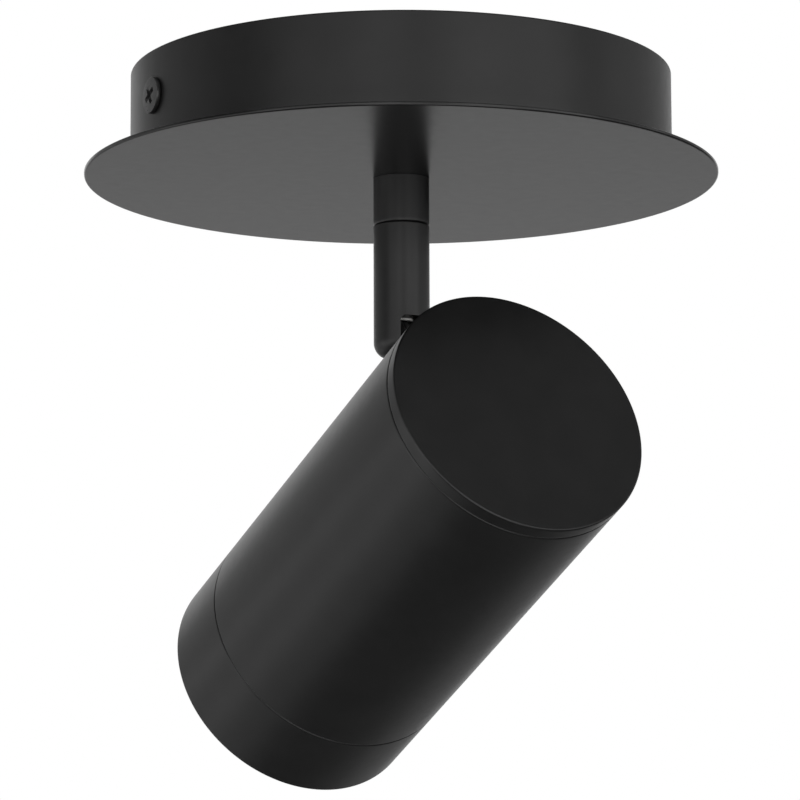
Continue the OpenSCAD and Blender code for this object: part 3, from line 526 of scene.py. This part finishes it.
def moulded(name, dark, light, rough, grain):
    """Moulded pale plastic."""
    f = Finish(name, Specular_IOR_Level=0.45)
    f.feed("Base Color", f.shades(f.noise(5, 3), dark, light))
    f.feed("Roughness", f.between(f.noise(0.7, 3), rough - 0.05, rough + 0.05))
    f.feed("Normal", f.grain(f.noise(grain, 3), 0.005))
    return f.material


def fired_ceramic():
    """Matt fired ceramic with fine dark specks."""
    f = Finish("fired_ceramic", Specular_IOR_Level=0.35)
    speck = f.node("ShaderNodeTexVoronoi")
    speck.inputs["Scale"].default_value = 1 / (1.6 * MM)
    f.link(f.place, speck.inputs["Vector"])
    f.feed("Base Color", f.colours(speck.outputs["Distance"], (0.03, (0.52, 0.47, 0.39)), (0.09, (0.84, 0.81, 0.74)),
                                   (0.7, (0.88, 0.86, 0.81))))
    f.feed("Roughness", f.between(f.noise(1, 3), 0.6, 0.75))
    f.feed("Normal", f.grain(f.noise(0.3, 4), 0.01))
    return f.material


def board_mask():
    """Glossy white lacquer over the board."""
    f = Finish("board_mask", Specular_IOR_Level=0.5)
    f.feed("Base Color", f.shades(f.noise(6, 2), (0.80, 0.80, 0.77), (0.86, 0.86, 0.84)))
    f.feed("Roughness", f.between(f.noise(1, 2), 0.25, 0.35))
    f.feed("Normal", f.grain(f.noise(0.6, 2), 0.003))
    return f.material


def phosphor():
    """The yellow faces of the chips."""
    f = Finish("phosphor", Specular_IOR_Level=0.5)
    f.feed("Base Color", f.shades(f.noise(0.12, 2), (0.82, 0.62, 0.10), (0.88, 0.70, 0.18)))
    f.feed("Roughness", f.between(f.noise(0.4, 2), 0.12, 0.22))
    return f.material


def frosted():
    """The frosted front of the lamp."""
    f = Finish("frosted", Transmission_Weight=0.75, IOR=1.5)
    f.feed("Base Color", f.shades(f.noise(3, 2), (0.90, 0.91, 0.91), grey(0.95)))
    f.feed("Roughness", f.between(f.noise(0.3, 3), 0.38, 0.5))
    f.feed("Normal", f.grain(f.noise(0.25, 3), 0.01))
    return f.material


COAT_STEEL = powder_coat("powder_coat_steel", ripple=0.9, specks=0.14, rough=0.39, gloss=0.31)
COAT_PLATE = powder_coat("powder_coat_plate", ripple=1.1, specks=0.14, rough=0.25, gloss=0.29)
COAT_ALUMINIUM = powder_coat("powder_coat_aluminium", ripple=0.8, specks=0.13, rough=0.36, gloss=0.31)
SCREW_PAINT = screw_paint()
ZINC = zinc_plate()
BRASS = bare_brass()
NICKEL = nickel_plate()
SHEATH = soft_sheath()
LIVE = insulation("live_insulation", (0.10, 0.035, 0.014), (0.14, 0.05, 0.02))
NEUTRAL = insulation("neutral_insulation", (0.02, 0.11, 0.42), (0.03, 0.15, 0.52))
EARTH = striped_insulation()
NYLON = moulded("nylon", (0.76, 0.75, 0.71), (0.83, 0.82, 0.79), rough=0.45, grain=0.3)
SLIDE = moulded("slide_plastic", (0.80, 0.80, 0.77), (0.86, 0.86, 0.83), rough=0.35, grain=0.4)
CERAMIC = fired_ceramic()
SHELL = moulded("lamp_shell", (0.80, 0.80, 0.78), (0.86, 0.86, 0.85), rough=0.3, grain=0.5)
BOARD = board_mask()
PHOSPHOR = phosphor()
LENS = frosted()


# ---- shared shapes

def rod_shape(r, z0, z1, sides=48):
    """A plain round bar along Z, used for cutting holes."""
    return skin([[(0.0, 0.0, z0)], ring_row(r, z0, sides), ring_row(r, z1, sides), [(0.0, 0.0, z1)]], False)


def read_back(obj):
    """The object's mesh as a shape in millimetres. The object goes."""
    shape = ([tuple(c / MM for c in v.co) for v in obj.data.vertices], [tuple(p.vertices) for p in obj.data.polygons])
    drop(obj)
    return shape


def screw(d, length, head_d, head_h, recess_l, recess_w, angle, pitch, rim_share=0.55):
    """A domed screw with a tapered cross recess and a cut thread.

    Its head stands on z = 0 and the shank goes down. rim_share is the share of the head's height below the dome.
    """
    r, rim = head_d / 2, head_h * rim_share
    dome = head_h - rim
    dome_r = (r * r + dome * dome) / (2 * dome)
    rows = [[(0.0, 0.0, head_h)]]
    for share in DOME_SHARES:
        rows.append(ring_row(r * share, head_h - dome_r + math.sqrt(dome_r ** 2 - (r * share) ** 2), ROUND_SMALL))
    edge = ((0.965, rim + 0.09 * dome), (0.985, rim - 0.07), (0.996, rim - 0.18), (1, rim - 0.3), (1, 0.18),
            (0.985, 0.05), (0.95, 0))
    for share, z in edge:
        rows.append(ring_row(r * share, z, ROUND_SMALL))
    core_r = d / 2 - THREAD_DEPTH * pitch
    rows.append(ring_row(d / 2, 0, ROUND_SMALL))
    rows += thread_rows(d / 2, core_r, pitch, -0.05, -length + 0.2, ROUND_SMALL)
    rows += [ring_row(core_r - 0.2, -length, ROUND_SMALL), [(0.0, 0.0, -length)]]
    obj = solid("screw", skin(rows, False))
    verts = []
    for z, share in ((head_h - head_h * RECESS_DEPTH, 0.5), (head_h + 0.4, 1.12)):
        x, y = recess_l / 2 * share, recess_w / 2 * (0.5 + share / 2)
        verts += [(-x, -y, z), (x, -y, z), (x, y, z), (-x, y, z)]
    faces = [(0, 1, 2, 3), (7, 6, 5, 4)] + [(k, (k + 1) % 4, 4 + (k + 1) % 4, 4 + k) for k in range(4)]
    return read_back(carve(obj, [moved((verts, faces), turn("Z", angle + a)) for a in (0, 90)]))


def hexagon_nut(across_corners, height, bore_r):
    """A nut with turned-down corners, standing on z = 0."""
    r = across_corners / 2
    outline = [(r * math.cos(math.radians(a)), r * math.sin(math.radians(a))) for a in range(0, 360, 60)]
    obj = solid("nut", prism(outline, 0, height))
    cut = r * (1 - math.cos(math.radians(30))) * CORNER_CUT
    lathe = turned([(0, 0), (r * 0.9, 0), (r + 0.05, cut), (r + 0.05, height - cut), (r * 0.9, height), (0, height)],
                   ROUND_SMALL)
    carve(obj, [lathe], how="INTERSECT")
    wide = bore_r + NUT_CHAMFER
    bore = turned([(0, -1), (wide, -1), (wide, 0), (bore_r, NUT_CHAMFER), (bore_r, height - NUT_CHAMFER),
                   (wide, height), (wide, height + 1), (0, height + 1)], ROUND_SMALL)
    return read_back(carve(obj, [bore]))


def smooth_path(points, steps):
    """The curve through the points that the part's source uses."""
    out = []
    for i in range(len(points) - 1):
        a, b, c, d = (Vector(points[j]) for j in (max(i - 1, 0), i, i + 1, min(i + 2, len(points) - 1)))
        for k in range(steps):
            t = k / steps
            out.append(0.5 * (2 * b + (c - a) * t + (2 * a - 5 * b + 4 * c - d) * t ** 2
                              + (3 * b - a - 3 * c + d) * t ** 3))
    return out + [Vector(points[-1])]


def core(points, steps=10):
    """A round insulated core along the points, with its ends rounded over."""
    path = smooth_path(points, steps)
    last = len(path) - 1
    turns = [math.tau * k / CORE_SIDES for k in range(CORE_SIDES)]
    # rings at a point of the path: how far along they lie, and their share of the core's radius
    plain, first_end, last_end = ((0, 1),), ((0, 0.8), (0.1, 1)), ((-0.1, 1), (0, 0.8))
    rows, side = [], Vector((1, 0.1, 0.05))
    for i, p in enumerate(path):
        along = (path[min(i + 1, last)] - path[max(i - 1, 0)]).normalized()
        side = (side - along * side.dot(along)).normalized()
        other = along.cross(side)
        for at, wide in {0: first_end, last: last_end}.get(i, plain):
            rows.append([tuple(p + along * at + CORE_R * wide * (math.cos(a) * side + math.sin(a) * other))
                         for a in turns])
    return skin([[tuple(path[0])]] + rows + [[tuple(path[-1])]], False)


def band_uv(obj):
    """Gives each face of a core its place round the core, for stripes along it."""
    layer = obj.data.uv_layers.new(name="UVMap")
    for face in obj.data.polygons:
        around = [((v - 1) % CORE_SIDES) / CORE_SIDES for v in face.vertices]
        if max(around) - min(around) > 0.5:
            around = [a + 1 if a < 0.5 else a for a in around]
        for loop, a in zip(face.loop_indices, around):
            layer.data[loop].uv = (a, 0.5)
    return obj


# ---- the canopy

def hole_along_x(r, x0, x1, z):
    """A bar along X, for cutting a side hole."""
    return moved(rod_shape(r, x0, x1), shift(0, 0, z) @ turn("Y", 90))


drum = solid("drum_shell", turned_round([
    (HOLE_R, -DRUM_H, 0.1), (DRUM_R, -DRUM_H, DRUM_BEND), (DRUM_R, 0, 0.25), (DRUM_R - DRUM_WALL, 0, 0.25),
    (DRUM_R - DRUM_WALL, DRUM_WALL - DRUM_H, DRUM_BEND - DRUM_WALL), (HOLE_R, DRUM_WALL - DRUM_H, 0.1)]))
carve(drum, [hole_along_x(SIDE_HOLE_R, side * (DRUM_R - 2), side * (DRUM_R + 2), SIDE_Z) for side in (-1, 1)]
      + [moved(rod_shape(FIXING_HOLE_R, -DRUM_H - 1, -DRUM_H + 2), shift(side * FIXING[0], FIXING[1], 0))
         for side in (-1, 1)])
place(drum, "canopy", "black_coat_steel", COAT_STEEL, "canopy_drum")

flange = solid("flange_disc", turned_round([
    (HOLE_R, FLANGE_Z, 0.1), (FLANGE_R, FLANGE_Z, 0.36), (FLANGE_R, -DRUM_H, 0.12), (HOLE_R, -DRUM_H, 0.1)]))
place(flange, "canopy", "black_coat_steel", COAT_PLATE, "flange_plate")

side_screw = screw(d=4, length=6.5, head_d=7.8, head_h=1.05, recess_l=4.9, recess_w=1.25, angle=62, pitch=0.7,
                   rim_share=0.8)
side_at = shift(DRUM_R, 0, SIDE_Z) @ turn("Y", 90)
side_screws = solid("side_screws", joined(moved(side_screw, side_at),
                                          moved(side_screw, Matrix.Diagonal((-1, 1, 1, 1)) @ side_at)))
place(side_screws, "canopy", "black_screw", SCREW_PAINT, "canopy_screws")

earth_screw_shape = screw(d=4, length=2.3, head_d=6.4, head_h=1.9, recess_l=4.4, recess_w=0.9, angle=30, pitch=0.7)
earth_screw = solid("earth_terminal_screw",
                    moved(earth_screw_shape, shift(EARTH_SCREW_X, 0, STRAP_UNDER_Z) @ turn("X", 180)))
place(earth_screw, "canopy", "brass", BRASS, "earth_screw")


def small_screw(length, angle):
    """One of the small screws that hold the block and the bracket."""
    return screw(d=3, length=length, head_d=5.4, head_h=1.9, recess_l=2.8, recess_w=0.7, angle=angle, pitch=0.5)


block_screws = solid("block_screws", joined(*[
    moved(small_screw(3.9, 20 * side), shift(side * FIXING[0], FIXING[1], BLOCK_FOOT_Z)) for side in (-1, 1)]))
place(block_screws, "canopy", "zinc_steel", ZINC, "terminal_fixing_screws")

nipple_outer = thread_rows(NIPPLE_R, NIPPLE_CORE_R, NIPPLE_PITCH, NIPPLE_TOP - 0.2, NIPPLE_END + 0.2, ROUND_SMALL)
nipple = solid("threaded_nipple", skin(
    [ring_row(r, NIPPLE_TOP, ROUND_SMALL) for r in (NIPPLE_BORE_R, NIPPLE_TIP_R)] + nipple_outer
    + [ring_row(r, NIPPLE_END, ROUND_SMALL) for r in (NIPPLE_TIP_R, NIPPLE_BORE_R)], True))
place(nipple, "canopy", "zinc_steel", ZINC, "stem_nipple")

top_nut = solid("nipple_hexagon_nut", moved(hexagon_nut(across_corners=16, height=3, bore_r=5.05),
                                            shift(0, 0, NIPPLE_NUT_Z)))
place(top_nut, "canopy", "zinc_steel", ZINC, "nipple_nut")


def at_pole(x):
    """Where a core reaches its pole of the block."""
    return Vector((x, -BLOCK_AT + BEFORE_POLE, -INSERT_DROP))


def in_pole(x):
    """Where a core ends in its pole."""
    return Vector((x, -BLOCK_AT - INTO_POLE, -INSERT_DROP))


def supply_route(side):
    """The way of a supply core from the cable's end to the block."""
    start = Vector((CORE_X * side, 0, SUPPLY_FROM_Z))
    pole = at_pole(POLE_PITCH * side)
    return [start, start + Vector((0.1 * side, -0.6, 1.7)), start + Vector((side, -4, 3.4)),
            start + Vector((3 * side, -10, 2.4)), pole + Vector((-side, 4.5, 1.2)), pole, in_pole(POLE_PITCH * side)]


for side, name, paint in ((-1, "live_core", LIVE), (1, "neutral_core", NEUTRAL)):
    place(solid(name, core(supply_route(side))), "canopy", "core_insulation", paint, "supply_cores")


def crimped(tag):
    """The straight stretch of a lead in its tag."""
    return [tag, tag - Vector((0, 3, 0)), tag - Vector((0, 4, 0))]


tag_1, tag_2 = Vector(STEM_TAG), Vector(STRAP_TAG)
out_1, out_2 = crimped(tag_1)[2], crimped(tag_2)[2]
earth_routes = [
    crimped(tag_1) + [(out_1 + at_pole(-CORE_X)) / 2, at_pole(-CORE_X), in_pole(-CORE_X)],
    crimped(tag_2) + [out_2 + Vector((-1.5, -3.2, -1.6)), Vector((6.6, out_2.y - 3.4, (out_2.z - INSERT_DROP) / 2)),
                      at_pole(CORE_X) + Vector((0.9, 3, 2)), at_pole(CORE_X) + Vector((0.05, 0.6, 0.2)),
                      in_pole(CORE_X)]]
for name, route in zip(("earth_lead_stem", "earth_lead_strap"), earth_routes):
    lead = band_uv(solid(name, core(route)))
    place(lead, "canopy", "earth_insulation", EARTH, "earth_leads")

# ---- the stem

collar = solid("collar_sleeve", turned_round([
    (COLLAR_BORE_R, FLANGE_Z, 0), (STEM_R, FLANGE_Z, 0.06), (STEM_R, COLLAR_END, 0.42), (LIP_BORE_R, COLLAR_END, 0.1),
    (LIP_BORE_R, LIP_TOP, 0), (COLLAR_BORE_R, LIP_TOP, 0)]))
land_angle = 2 * (180 - PAN_LIMIT - math.degrees(math.asin(STOP_PIN_R / STOP_R)) - STOP_PLAY)


def arc_groove(r0, r1, a0, a1, z0, z1):
    """Part of a ring between two angles, for cutting a curved groove."""
    n = ROUND_SMALL
    rows = []
    for k in range(n + 1):
        a = math.radians(a0 + (a1 - a0) * k / n)
        rows.append([(r * math.cos(a), r * math.sin(a), z) for r, z in ((r0, z0), (r1, z0), (r1, z1), (r0, z1))])
    verts, faces = skin(rows, False)
    return verts, faces + [(0, 1, 2, 3), tuple(4 * n + i for i in (3, 2, 1, 0))]


carve(collar, [arc_groove(STOP_R - STOP_GROOVE_W / 2, STOP_R + STOP_GROOVE_W / 2, 180 + land_angle / 2,
                          540 - land_angle / 2, COLLAR_END - 1, COLLAR_END + STOP_GROOVE_H)])
place(collar, "canopy", "black_coat_steel", COAT_STEEL, "stem_collar")

rod = solid("stem_tube", turned_round([
    (0, ROD_END, 0), (STEM_R, ROD_END, FOOT_BEND), (STEM_R, ROD_TOP, 0.12), (NECK_R, ROD_TOP, 0),
    (NECK_R, NECK_TOP, 0.2), (CABLE_BORE_R, NECK_TOP, 0.1), (CABLE_BORE_R, CABLE_BORE_END, 0),
    (0, CABLE_BORE_END, 0)]))
slot_outline = [(-SLOT_HALF, ROD_END - 1), (SLOT_HALF, ROD_END - 1)]
for cx, first in ((SLOT_HALF - SLOT_CORNER, 0), (SLOT_CORNER - SLOT_HALF, 90)):
    slot_outline += [(cx + SLOT_CORNER * math.cos(math.radians(first + 10 * k)),
                      SLOT_ROOF - SLOT_CORNER + SLOT_CORNER * math.sin(math.radians(first + 10 * k)))
                     for k in range(10)]
in_slot = turn("Z", PAN_REST) @ turn("X", 90)
across = shift(0, 0, PIVOT_Z) @ turn("Z", PAN_REST) @ turn("Y", 90)
carve(rod, [moved(prism(slot_outline, -2 * STEM_R, 2 * STEM_R), in_slot),
            moved(rod_shape(PIVOT_HOLE_R, -5.2, STEM_R + 1), across),
            moved(rod_shape(PIVOT_HEAD_HOLE_R, PIVOT_HEAD_SEAT, STEM_R + 1), across),
            moved(rod_shape(STOP_HOLE_R, ROD_TOP - 2, ROD_TOP + 1), shift(STOP_R, 0, 0))])
place(soften(rod, 0.12), "stem", "black_coat_steel", COAT_STEEL, "stem_rod")

pivot_route = [Vector((0, -h * math.sin(math.radians(TILT_REST)), -h * math.cos(math.radians(TILT_REST))))
               for h in (5.9, 4.1)] + [Vector((0, -1, -2.35)), Vector((0, 3, -2.35))]
for side, name in ((-1, "pivot_sleeve_live"), (1, "pivot_sleeve_neutral")):
    path = [PIVOT @ (p + Vector((CORE_X * side, 0, 0))) for p in pivot_route]
    piece = solid(name, core(path))
    piece.data.materials.append(SHEATH)
    # the sleeves turn between the cable's end and where they enter the knuckle
    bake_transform(piece)
    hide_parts("pivot_cores")

# The bush that keeps the cores off the bore's edge. Its lip is cut round to clear the turning knuckle.
bush = solid("bore_bush", turned_round([
    (BUSH_BORE_R, BUSH_TOP, 0.1), (BUSH_R, BUSH_TOP, 0.1), (BUSH_R, SLOT_ROOF - BUSH_PLAY, 0),
    (BUSH_LIP_R, SLOT_ROOF - BUSH_PLAY, 0.05), (BUSH_LIP_R, SLOT_ROOF - BUSH_LIP_H, 0.2),
    (BUSH_BORE_R, SLOT_ROOF - BUSH_LIP_H, 0.2)], ROUND_SMALL))
carve(bush, [moved(rod_shape(KNUCKLE_SWEEP_R, -4, 4, ROUND_SMALL), across)])
place(bush, "stem", "white_plastic", SLIDE)

# ---- the head

housing = solid("head_tube", moved(turned_round([
    (TUBE_R, CAP_L + SEAM, 0.15), (HEAD_R, CAP_L + SEAM, 0.36), (HEAD_R, BEZEL_AT, 0.2), (SPIGOT_R, BEZEL_AT, 0),
    (SPIGOT_R, SPIGOT_END, 0.25), (TUBE_R, SPIGOT_END, 0.25)]), HEAD))
carve(housing, [moved(rod_shape(STUD_HOLE_R, TUBE_R - 4, HEAD_R + 2), HEAD @ shift(0, 0, HEAD_BACK) @ turn("X", 90))])
place(housing, "head", "black_coat_aluminium", COAT_ALUMINIUM, "head_housing")

cap = solid("end_cap", moved(turned_round([
    (0, 0, 0), (HEAD_R, 0, 0.4), (HEAD_R, CAP_L, 0.2), (CAP_SPIGOT_R, CAP_L, 0), (CAP_SPIGOT_R, CAP_SPIGOT_END, 0.3),
    (CAP_BORE_R, CAP_SPIGOT_END, 0.3), (CAP_BORE_R, CAP_L, 0.5), (0, CAP_L, 0)]), HEAD))
place(cap, "head", "black_coat_aluminium", COAT_ALUMINIUM, "rear_cap")

bezel = solid("front_ring", moved(turned_round([
    (RING_BORE_R, BEZEL_AT + SEAM, 0), (HEAD_R, BEZEL_AT + SEAM, 0.34), (HEAD_R, HEAD_L, 0.25),
    (OPENING_R, HEAD_L, 0.3), (OPENING_R, HEAD_L - LIP_T, 0.2), (TUBE_R, HEAD_L - LIP_T, 0),
    (TUBE_R, RING_STEP_AT, 0), (RING_BORE_R, RING_STEP_AT, 0)]), HEAD))
place(bezel, "bezel", "black_coat_aluminium", COAT_ALUMINIUM, "front_bezel")


def head_route(side):
    """The way of a core in the head, from the knuckle through its stud to the lampholder."""
    x, px = CORE_X * side, PIN_R * side
    y0, past_stud, window_y = 3 - HEAD_OFF, STUD_END_Y + 2, STUD_END_Y - 3
    points = [(x, y0, HEAD_BACK - 2.35), (x, y0 + 3, HEAD_BACK - 2.115), (x, y0 + 8, HEAD_BACK - 0.3),
              (x, -past_stud, HEAD_BACK), (x, 0.6 - STUD_END_Y, HEAD_BACK - 0.4), (x, -window_y, 30.6),
              (x, -window_y, 27.4), (x + side, 0.6 - window_y, 24), (px * 0.7, -window_y * 0.62, 20.5),
              (px, -4, 20.5), (px, -0.6, 24), (px, 0, 26.5), (px, 0, 31)]
    return [HEAD @ Vector(p) for p in points]


for side, name, paint in ((-1, "head_core_live", LIVE), (1, "head_core_neutral", NEUTRAL)):
    place(solid(name, core(head_route(side))), "head", "core_insulation", paint, "head_cores")

stud_nut = solid("stud_nut", moved(hexagon_nut(across_corners=13.8, height=3, bore_r=4.05),
                                   HEAD @ shift(0, STUD_NUT_Y, HEAD_BACK) @ turn("X", -90)))
place(stud_nut, "head", "zinc_steel", ZINC, "knuckle_nut")

inner_nut = solid("stem_nut", moved(hexagon_nut(across_corners=9.6, height=1.8, bore_r=3.65),
                                    shift(0, 0, STEM_NUT_Z)))
place(inner_nut, "stem", "zinc_steel", ZINC, "swivel_nut")

bracket_screws = solid("bracket_screws", joined(*[
    moved(small_screw(8, 25 * side), HEAD @ shift(0, HOLDER_SCREW_Y * side, HOLDER_SCREW_AT) @ turn("X", 180))
    for side in (-1, 1)]))
place(bracket_screws, "head", "zinc_steel", ZINC, "holder_screws")

# ---- the lamp

shell = solid("lamp_cone", moved(turned_round([
    (0, LAMP_AT + LAMP_BASE_H, 0), (LAMP_BASE_R, LAMP_AT + LAMP_BASE_H, 0.3), (LAMP_R, LAMP_FACE - LAMP_RIM_H, 1),
    (LAMP_R, LAMP_FACE, 0.5), (LAMP_R - LAMP_WALL, LAMP_FACE, 0.4), (LAMP_R - LAMP_WALL, LENS_SEAT, 0),
    (WELL_R, LENS_SEAT, 0.2), (WELL_R, BOARD_SEAT, 0.4), (0, BOARD_SEAT, 0)]), HEAD))
place(shell, "lamp", "lamp_shell", SHELL, "lamp_body")

lens = solid("lamp_front", moved(turned_round([
    (0, LENS_SEAT, 0), (LENS_R, LENS_SEAT, 0.2), (LENS_R, LENS_OUT, 0.3), (LENS_R - 1.4, LENS_OUT, 0.15),
    (LENS_R - 1.7, LENS_OUT - 0.3, 0.15), (0, LENS_OUT - 0.1, 0)]), HEAD))
place(lens, "lamp", "lens", LENS, "lamp_lens")

board = solid("board_disc", moved(turned_round([
    (0, BOARD_SEAT, 0), (BOARD_R, BOARD_SEAT, 0.1), (BOARD_R, BOARD_TOP, 0.1), (0, BOARD_TOP, 0)]), HEAD))
place(board, "lamp", "board", BOARD, "led_board")
square = [(-CHIP / 2, -CHIP / 2), (CHIP / 2, -CHIP / 2), (CHIP / 2, CHIP / 2), (-CHIP / 2, CHIP / 2)]
chip_places = [HEAD @ turn("Z", a) @ shift(CHIPS_AT, 0, BOARD_TOP) for a in range(0, 360, 60)]
chip = solid("chip", prism(square, 0, CHIP_H))
carve(chip, [skin([[(0.0, 0.0, DISH_FLOOR)], ring_row(DISH_R, DISH_FLOOR, ROUND_TINY),
                   ring_row(DISH_RIM_R, OVER_CHIP, ROUND_TINY), [(0.0, 0.0, OVER_CHIP)]], False)])
chip_shape = read_back(chip)
chips = solid("chip_bodies", joined(*[moved(chip_shape, at) for at in chip_places]))
place(soften(chips, 0.08), "lamp", "board", SHELL, "led_board")
drop_shape = turned([(0, CHIP_H - 0.29), (1.24, CHIP_H - 0.29), (1.4, CHIP_H - 0.1), (1.0, CHIP_H - 0.04),
                     (0.5, CHIP_H - 0.01), (0, CHIP_H)], ROUND_TINY)
faces = solid("chip_faces", joined(*[moved(drop_shape, at) for at in chip_places]))
place(faces, "lamp", "board", PHOSPHOR, "led_board")

# ---- the rest of the part's own solids: their finish, and how much their edges are rounded

REST = {
    "ceiling_bracket": (ZINC, 0.12), "earth_tags": (ZINC, 0.08), "lock_washer": (ZINC, 0.08),
    "flat_washer": (ZINC, 0.12), "cable_bush": (SHEATH, 0.3), "cable_canopy": (SHEATH, 0.15),
    "terminal_block": (NYLON, 0.35), "terminal_inserts": (BRASS, 0.08), "terminal_screws": (ZINC, 0.1),
    "swivel_washer": (SLIDE, 0.08), "stop_pin": (ZINC, 0.08), "stem_cable": (SHEATH, 0.15),
    "pivot_screw": (ZINC, 0.12), "knuckle": (COAT_STEEL, 0.12), "friction_washers": (SLIDE, 0.05),
    "knuckle_washer": (ZINC, 0.1), "holder_bracket": (ZINC, 0.12), "lampholder": (CERAMIC, 0.3),
    "holder_contacts": (BRASS, 0.06), "lamp_base": (SHELL, 0.4), "lamp_pins": (NICKEL, 0.2),
}
for node, (paint, width) in REST.items():
    obj = frame["nodes"][node]
    for material_slot in obj.material_slots:
        material_slot.material = paint
    soften(obj, width)

# ---- floor, walls, light and camera

def staged(name, shape, colour, seen=None):
    """A plain matt part of the studio. Where seen is given, the camera sees that paler grey instead."""
    obj = solid(name, shape)
    f = Finish(name, Roughness=STAGE_ROUGHNESS)
    soft = f.noise(STAGE_NOISE, 1)
    paint = f.shades(soft, grey(colour - STAGE_GREY_STEP), grey(colour + STAGE_GREY_STEP))
    if seen:
        pick = f.node("ShaderNodeMix", data_type="RGBA")
        f.link(f.node("ShaderNodeLightPath").outputs["Is Camera Ray"], pick.inputs["Factor"])
        f.link(paint, pick.inputs["A"])
        f.link(f.shades(soft, grey(seen - STAGE_GREY_STEP), grey(seen + STAGE_GREY_STEP)), pick.inputs["B"])
        paint = pick.outputs["Result"]
    f.feed("Base Color", paint)
    obj.data.materials.append(f.material)
    return obj


def disc(name, radius, z, colour, seen=None):
    """A flat round panel."""
    around = [math.tau * k / STAGE_SIDES for k in range(STAGE_SIDES)]
    verts = [(radius * math.cos(a) / MM, radius * math.sin(a) / MM, z / MM) for a in around]
    return staged(name, (verts, [tuple(range(STAGE_SIDES))]), colour, seen)


def wall(name, left, right, radius, z0, z1, colour):
    """A round wall, open from an angle on the left of the way the camera looks to one on its right."""
    rows = []
    for k in range(STAGE_SIDES + 1):
        a = math.radians(90 - VIEW_TURN + left + (360 - left - right) * k / STAGE_SIDES)
        rows.append([(radius * math.cos(a) / MM, radius * math.sin(a) / MM, z / MM) for z in (z0, z1)])
    verts = [v for row in rows for v in row]
    obj = staged(name, (verts, [(2 * k, 2 * k + 1, 2 * k + 3, 2 * k + 2) for k in range(STAGE_SIDES)]), colour)
    obj.visible_camera = False


disc("floor", FLOOR_R, FLOOR_Z, FLOOR_GREY, SEEN_GREY)
disc("floor_middle", NEAR_FLOOR_R, NEAR_FLOOR_Z, NEAR_FLOOR_GREY, SEEN_GREY)
panel = disc("upper_panel", PANEL_R, PANEL_Z, PANEL_GREY)
panel.visible_camera = False
wall("side_walls", WALL_OPEN_LEFT, WALL_OPEN_RIGHT, WALL_R, FLOOR_Z, PANEL_Z, WALL_GREY)


def world(lit):
    """White where the camera, gloss and glass look past the object, and a plain level of light elsewhere."""
    made = bpy.data.worlds.new("studio")
    bpy.context.scene.world = made
    made.use_nodes = True
    tree = made.node_tree
    ground = tree.nodes["Background"]
    ground.inputs["Color"].default_value = (1, 1, 1, 1)
    ray = tree.nodes.new("ShaderNodeLightPath")
    seen = ray.outputs["Is Camera Ray"]
    for other in ("Is Glossy Ray", "Is Transmission Ray"):
        either = tree.nodes.new("ShaderNodeMath")
        either.operation = "MAXIMUM"
        tree.links.new(seen, either.inputs[0])
        tree.links.new(ray.outputs[other], either.inputs[1])
        seen = either.outputs[0]
    level = tree.nodes.new("ShaderNodeMapRange")
    level.inputs["To Min"].default_value = lit
    level.inputs["To Max"].default_value = 1
    tree.links.new(seen, level.inputs["Value"])
    tree.links.new(level.outputs["Result"], ground.inputs["Strength"])


world(WORLD_LEVEL)

view = math.radians(VIEW_TURN)
RIGHT = Vector((math.cos(view), -math.sin(view), 0))
BACK = Vector((-math.sin(view), -math.cos(view), 0))


def soft_light(name, round_angle, height_angle, watts):
    """A soft light, placed by its angle round the object from the camera's side and its angle above the horizon."""
    data = bpy.data.lights.new(name, "AREA")
    data.shape = "RECTANGLE"
    data.size, data.size_y = SOFT_LIGHT_SIZE
    data.energy = watts
    obj = bpy.data.objects.new(name, data)
    bpy.context.scene.collection.objects.link(obj)
    a, e = math.radians(round_angle), math.radians(height_angle)
    middle = Vector(OBJECT_MIDDLE)
    obj.location = middle + SOFT_LIGHT_AWAY * (math.cos(e) * (math.cos(a) * BACK + math.sin(a) * RIGHT)
                                               + math.sin(e) * Vector((0, 0, 1)))
    obj.rotation_mode = "QUATERNION"
    obj.rotation_quaternion = (middle - obj.location).to_track_quat("-Z", "Y")
    obj.visible_camera = False


for name, (round_angle, height_angle, watts) in SOFT_LIGHTS.items():
    soft_light(name, round_angle, height_angle, watts)

lens_data = bpy.data.cameras.new("camera")
lens_data.lens, lens_data.sensor_width = LENS_MM, FILM_MM
lens_data.clip_start, lens_data.clip_end = NEAR_END, FAR_END
camera = bpy.data.objects.new("camera", lens_data)
bpy.context.scene.collection.objects.link(camera)
pitch, roll = math.radians(VIEW_PITCH), math.radians(VIEW_ROLL)
ahead = -BACK * math.cos(pitch) + Vector((0, 0, math.sin(pitch)))
upward = RIGHT.cross(ahead)
axis_x = math.cos(roll) * RIGHT + math.sin(roll) * upward
axis_y = math.cos(roll) * upward - math.sin(roll) * RIGHT
stand = Matrix((axis_x, axis_y, -ahead)).transposed().to_4x4()
stand.translation = Vector(VIEW_FROM) * MM
camera.matrix_world = stand
bpy.context.scene.camera = camera
bpy.context.scene.view_settings.view_transform = "Standard"
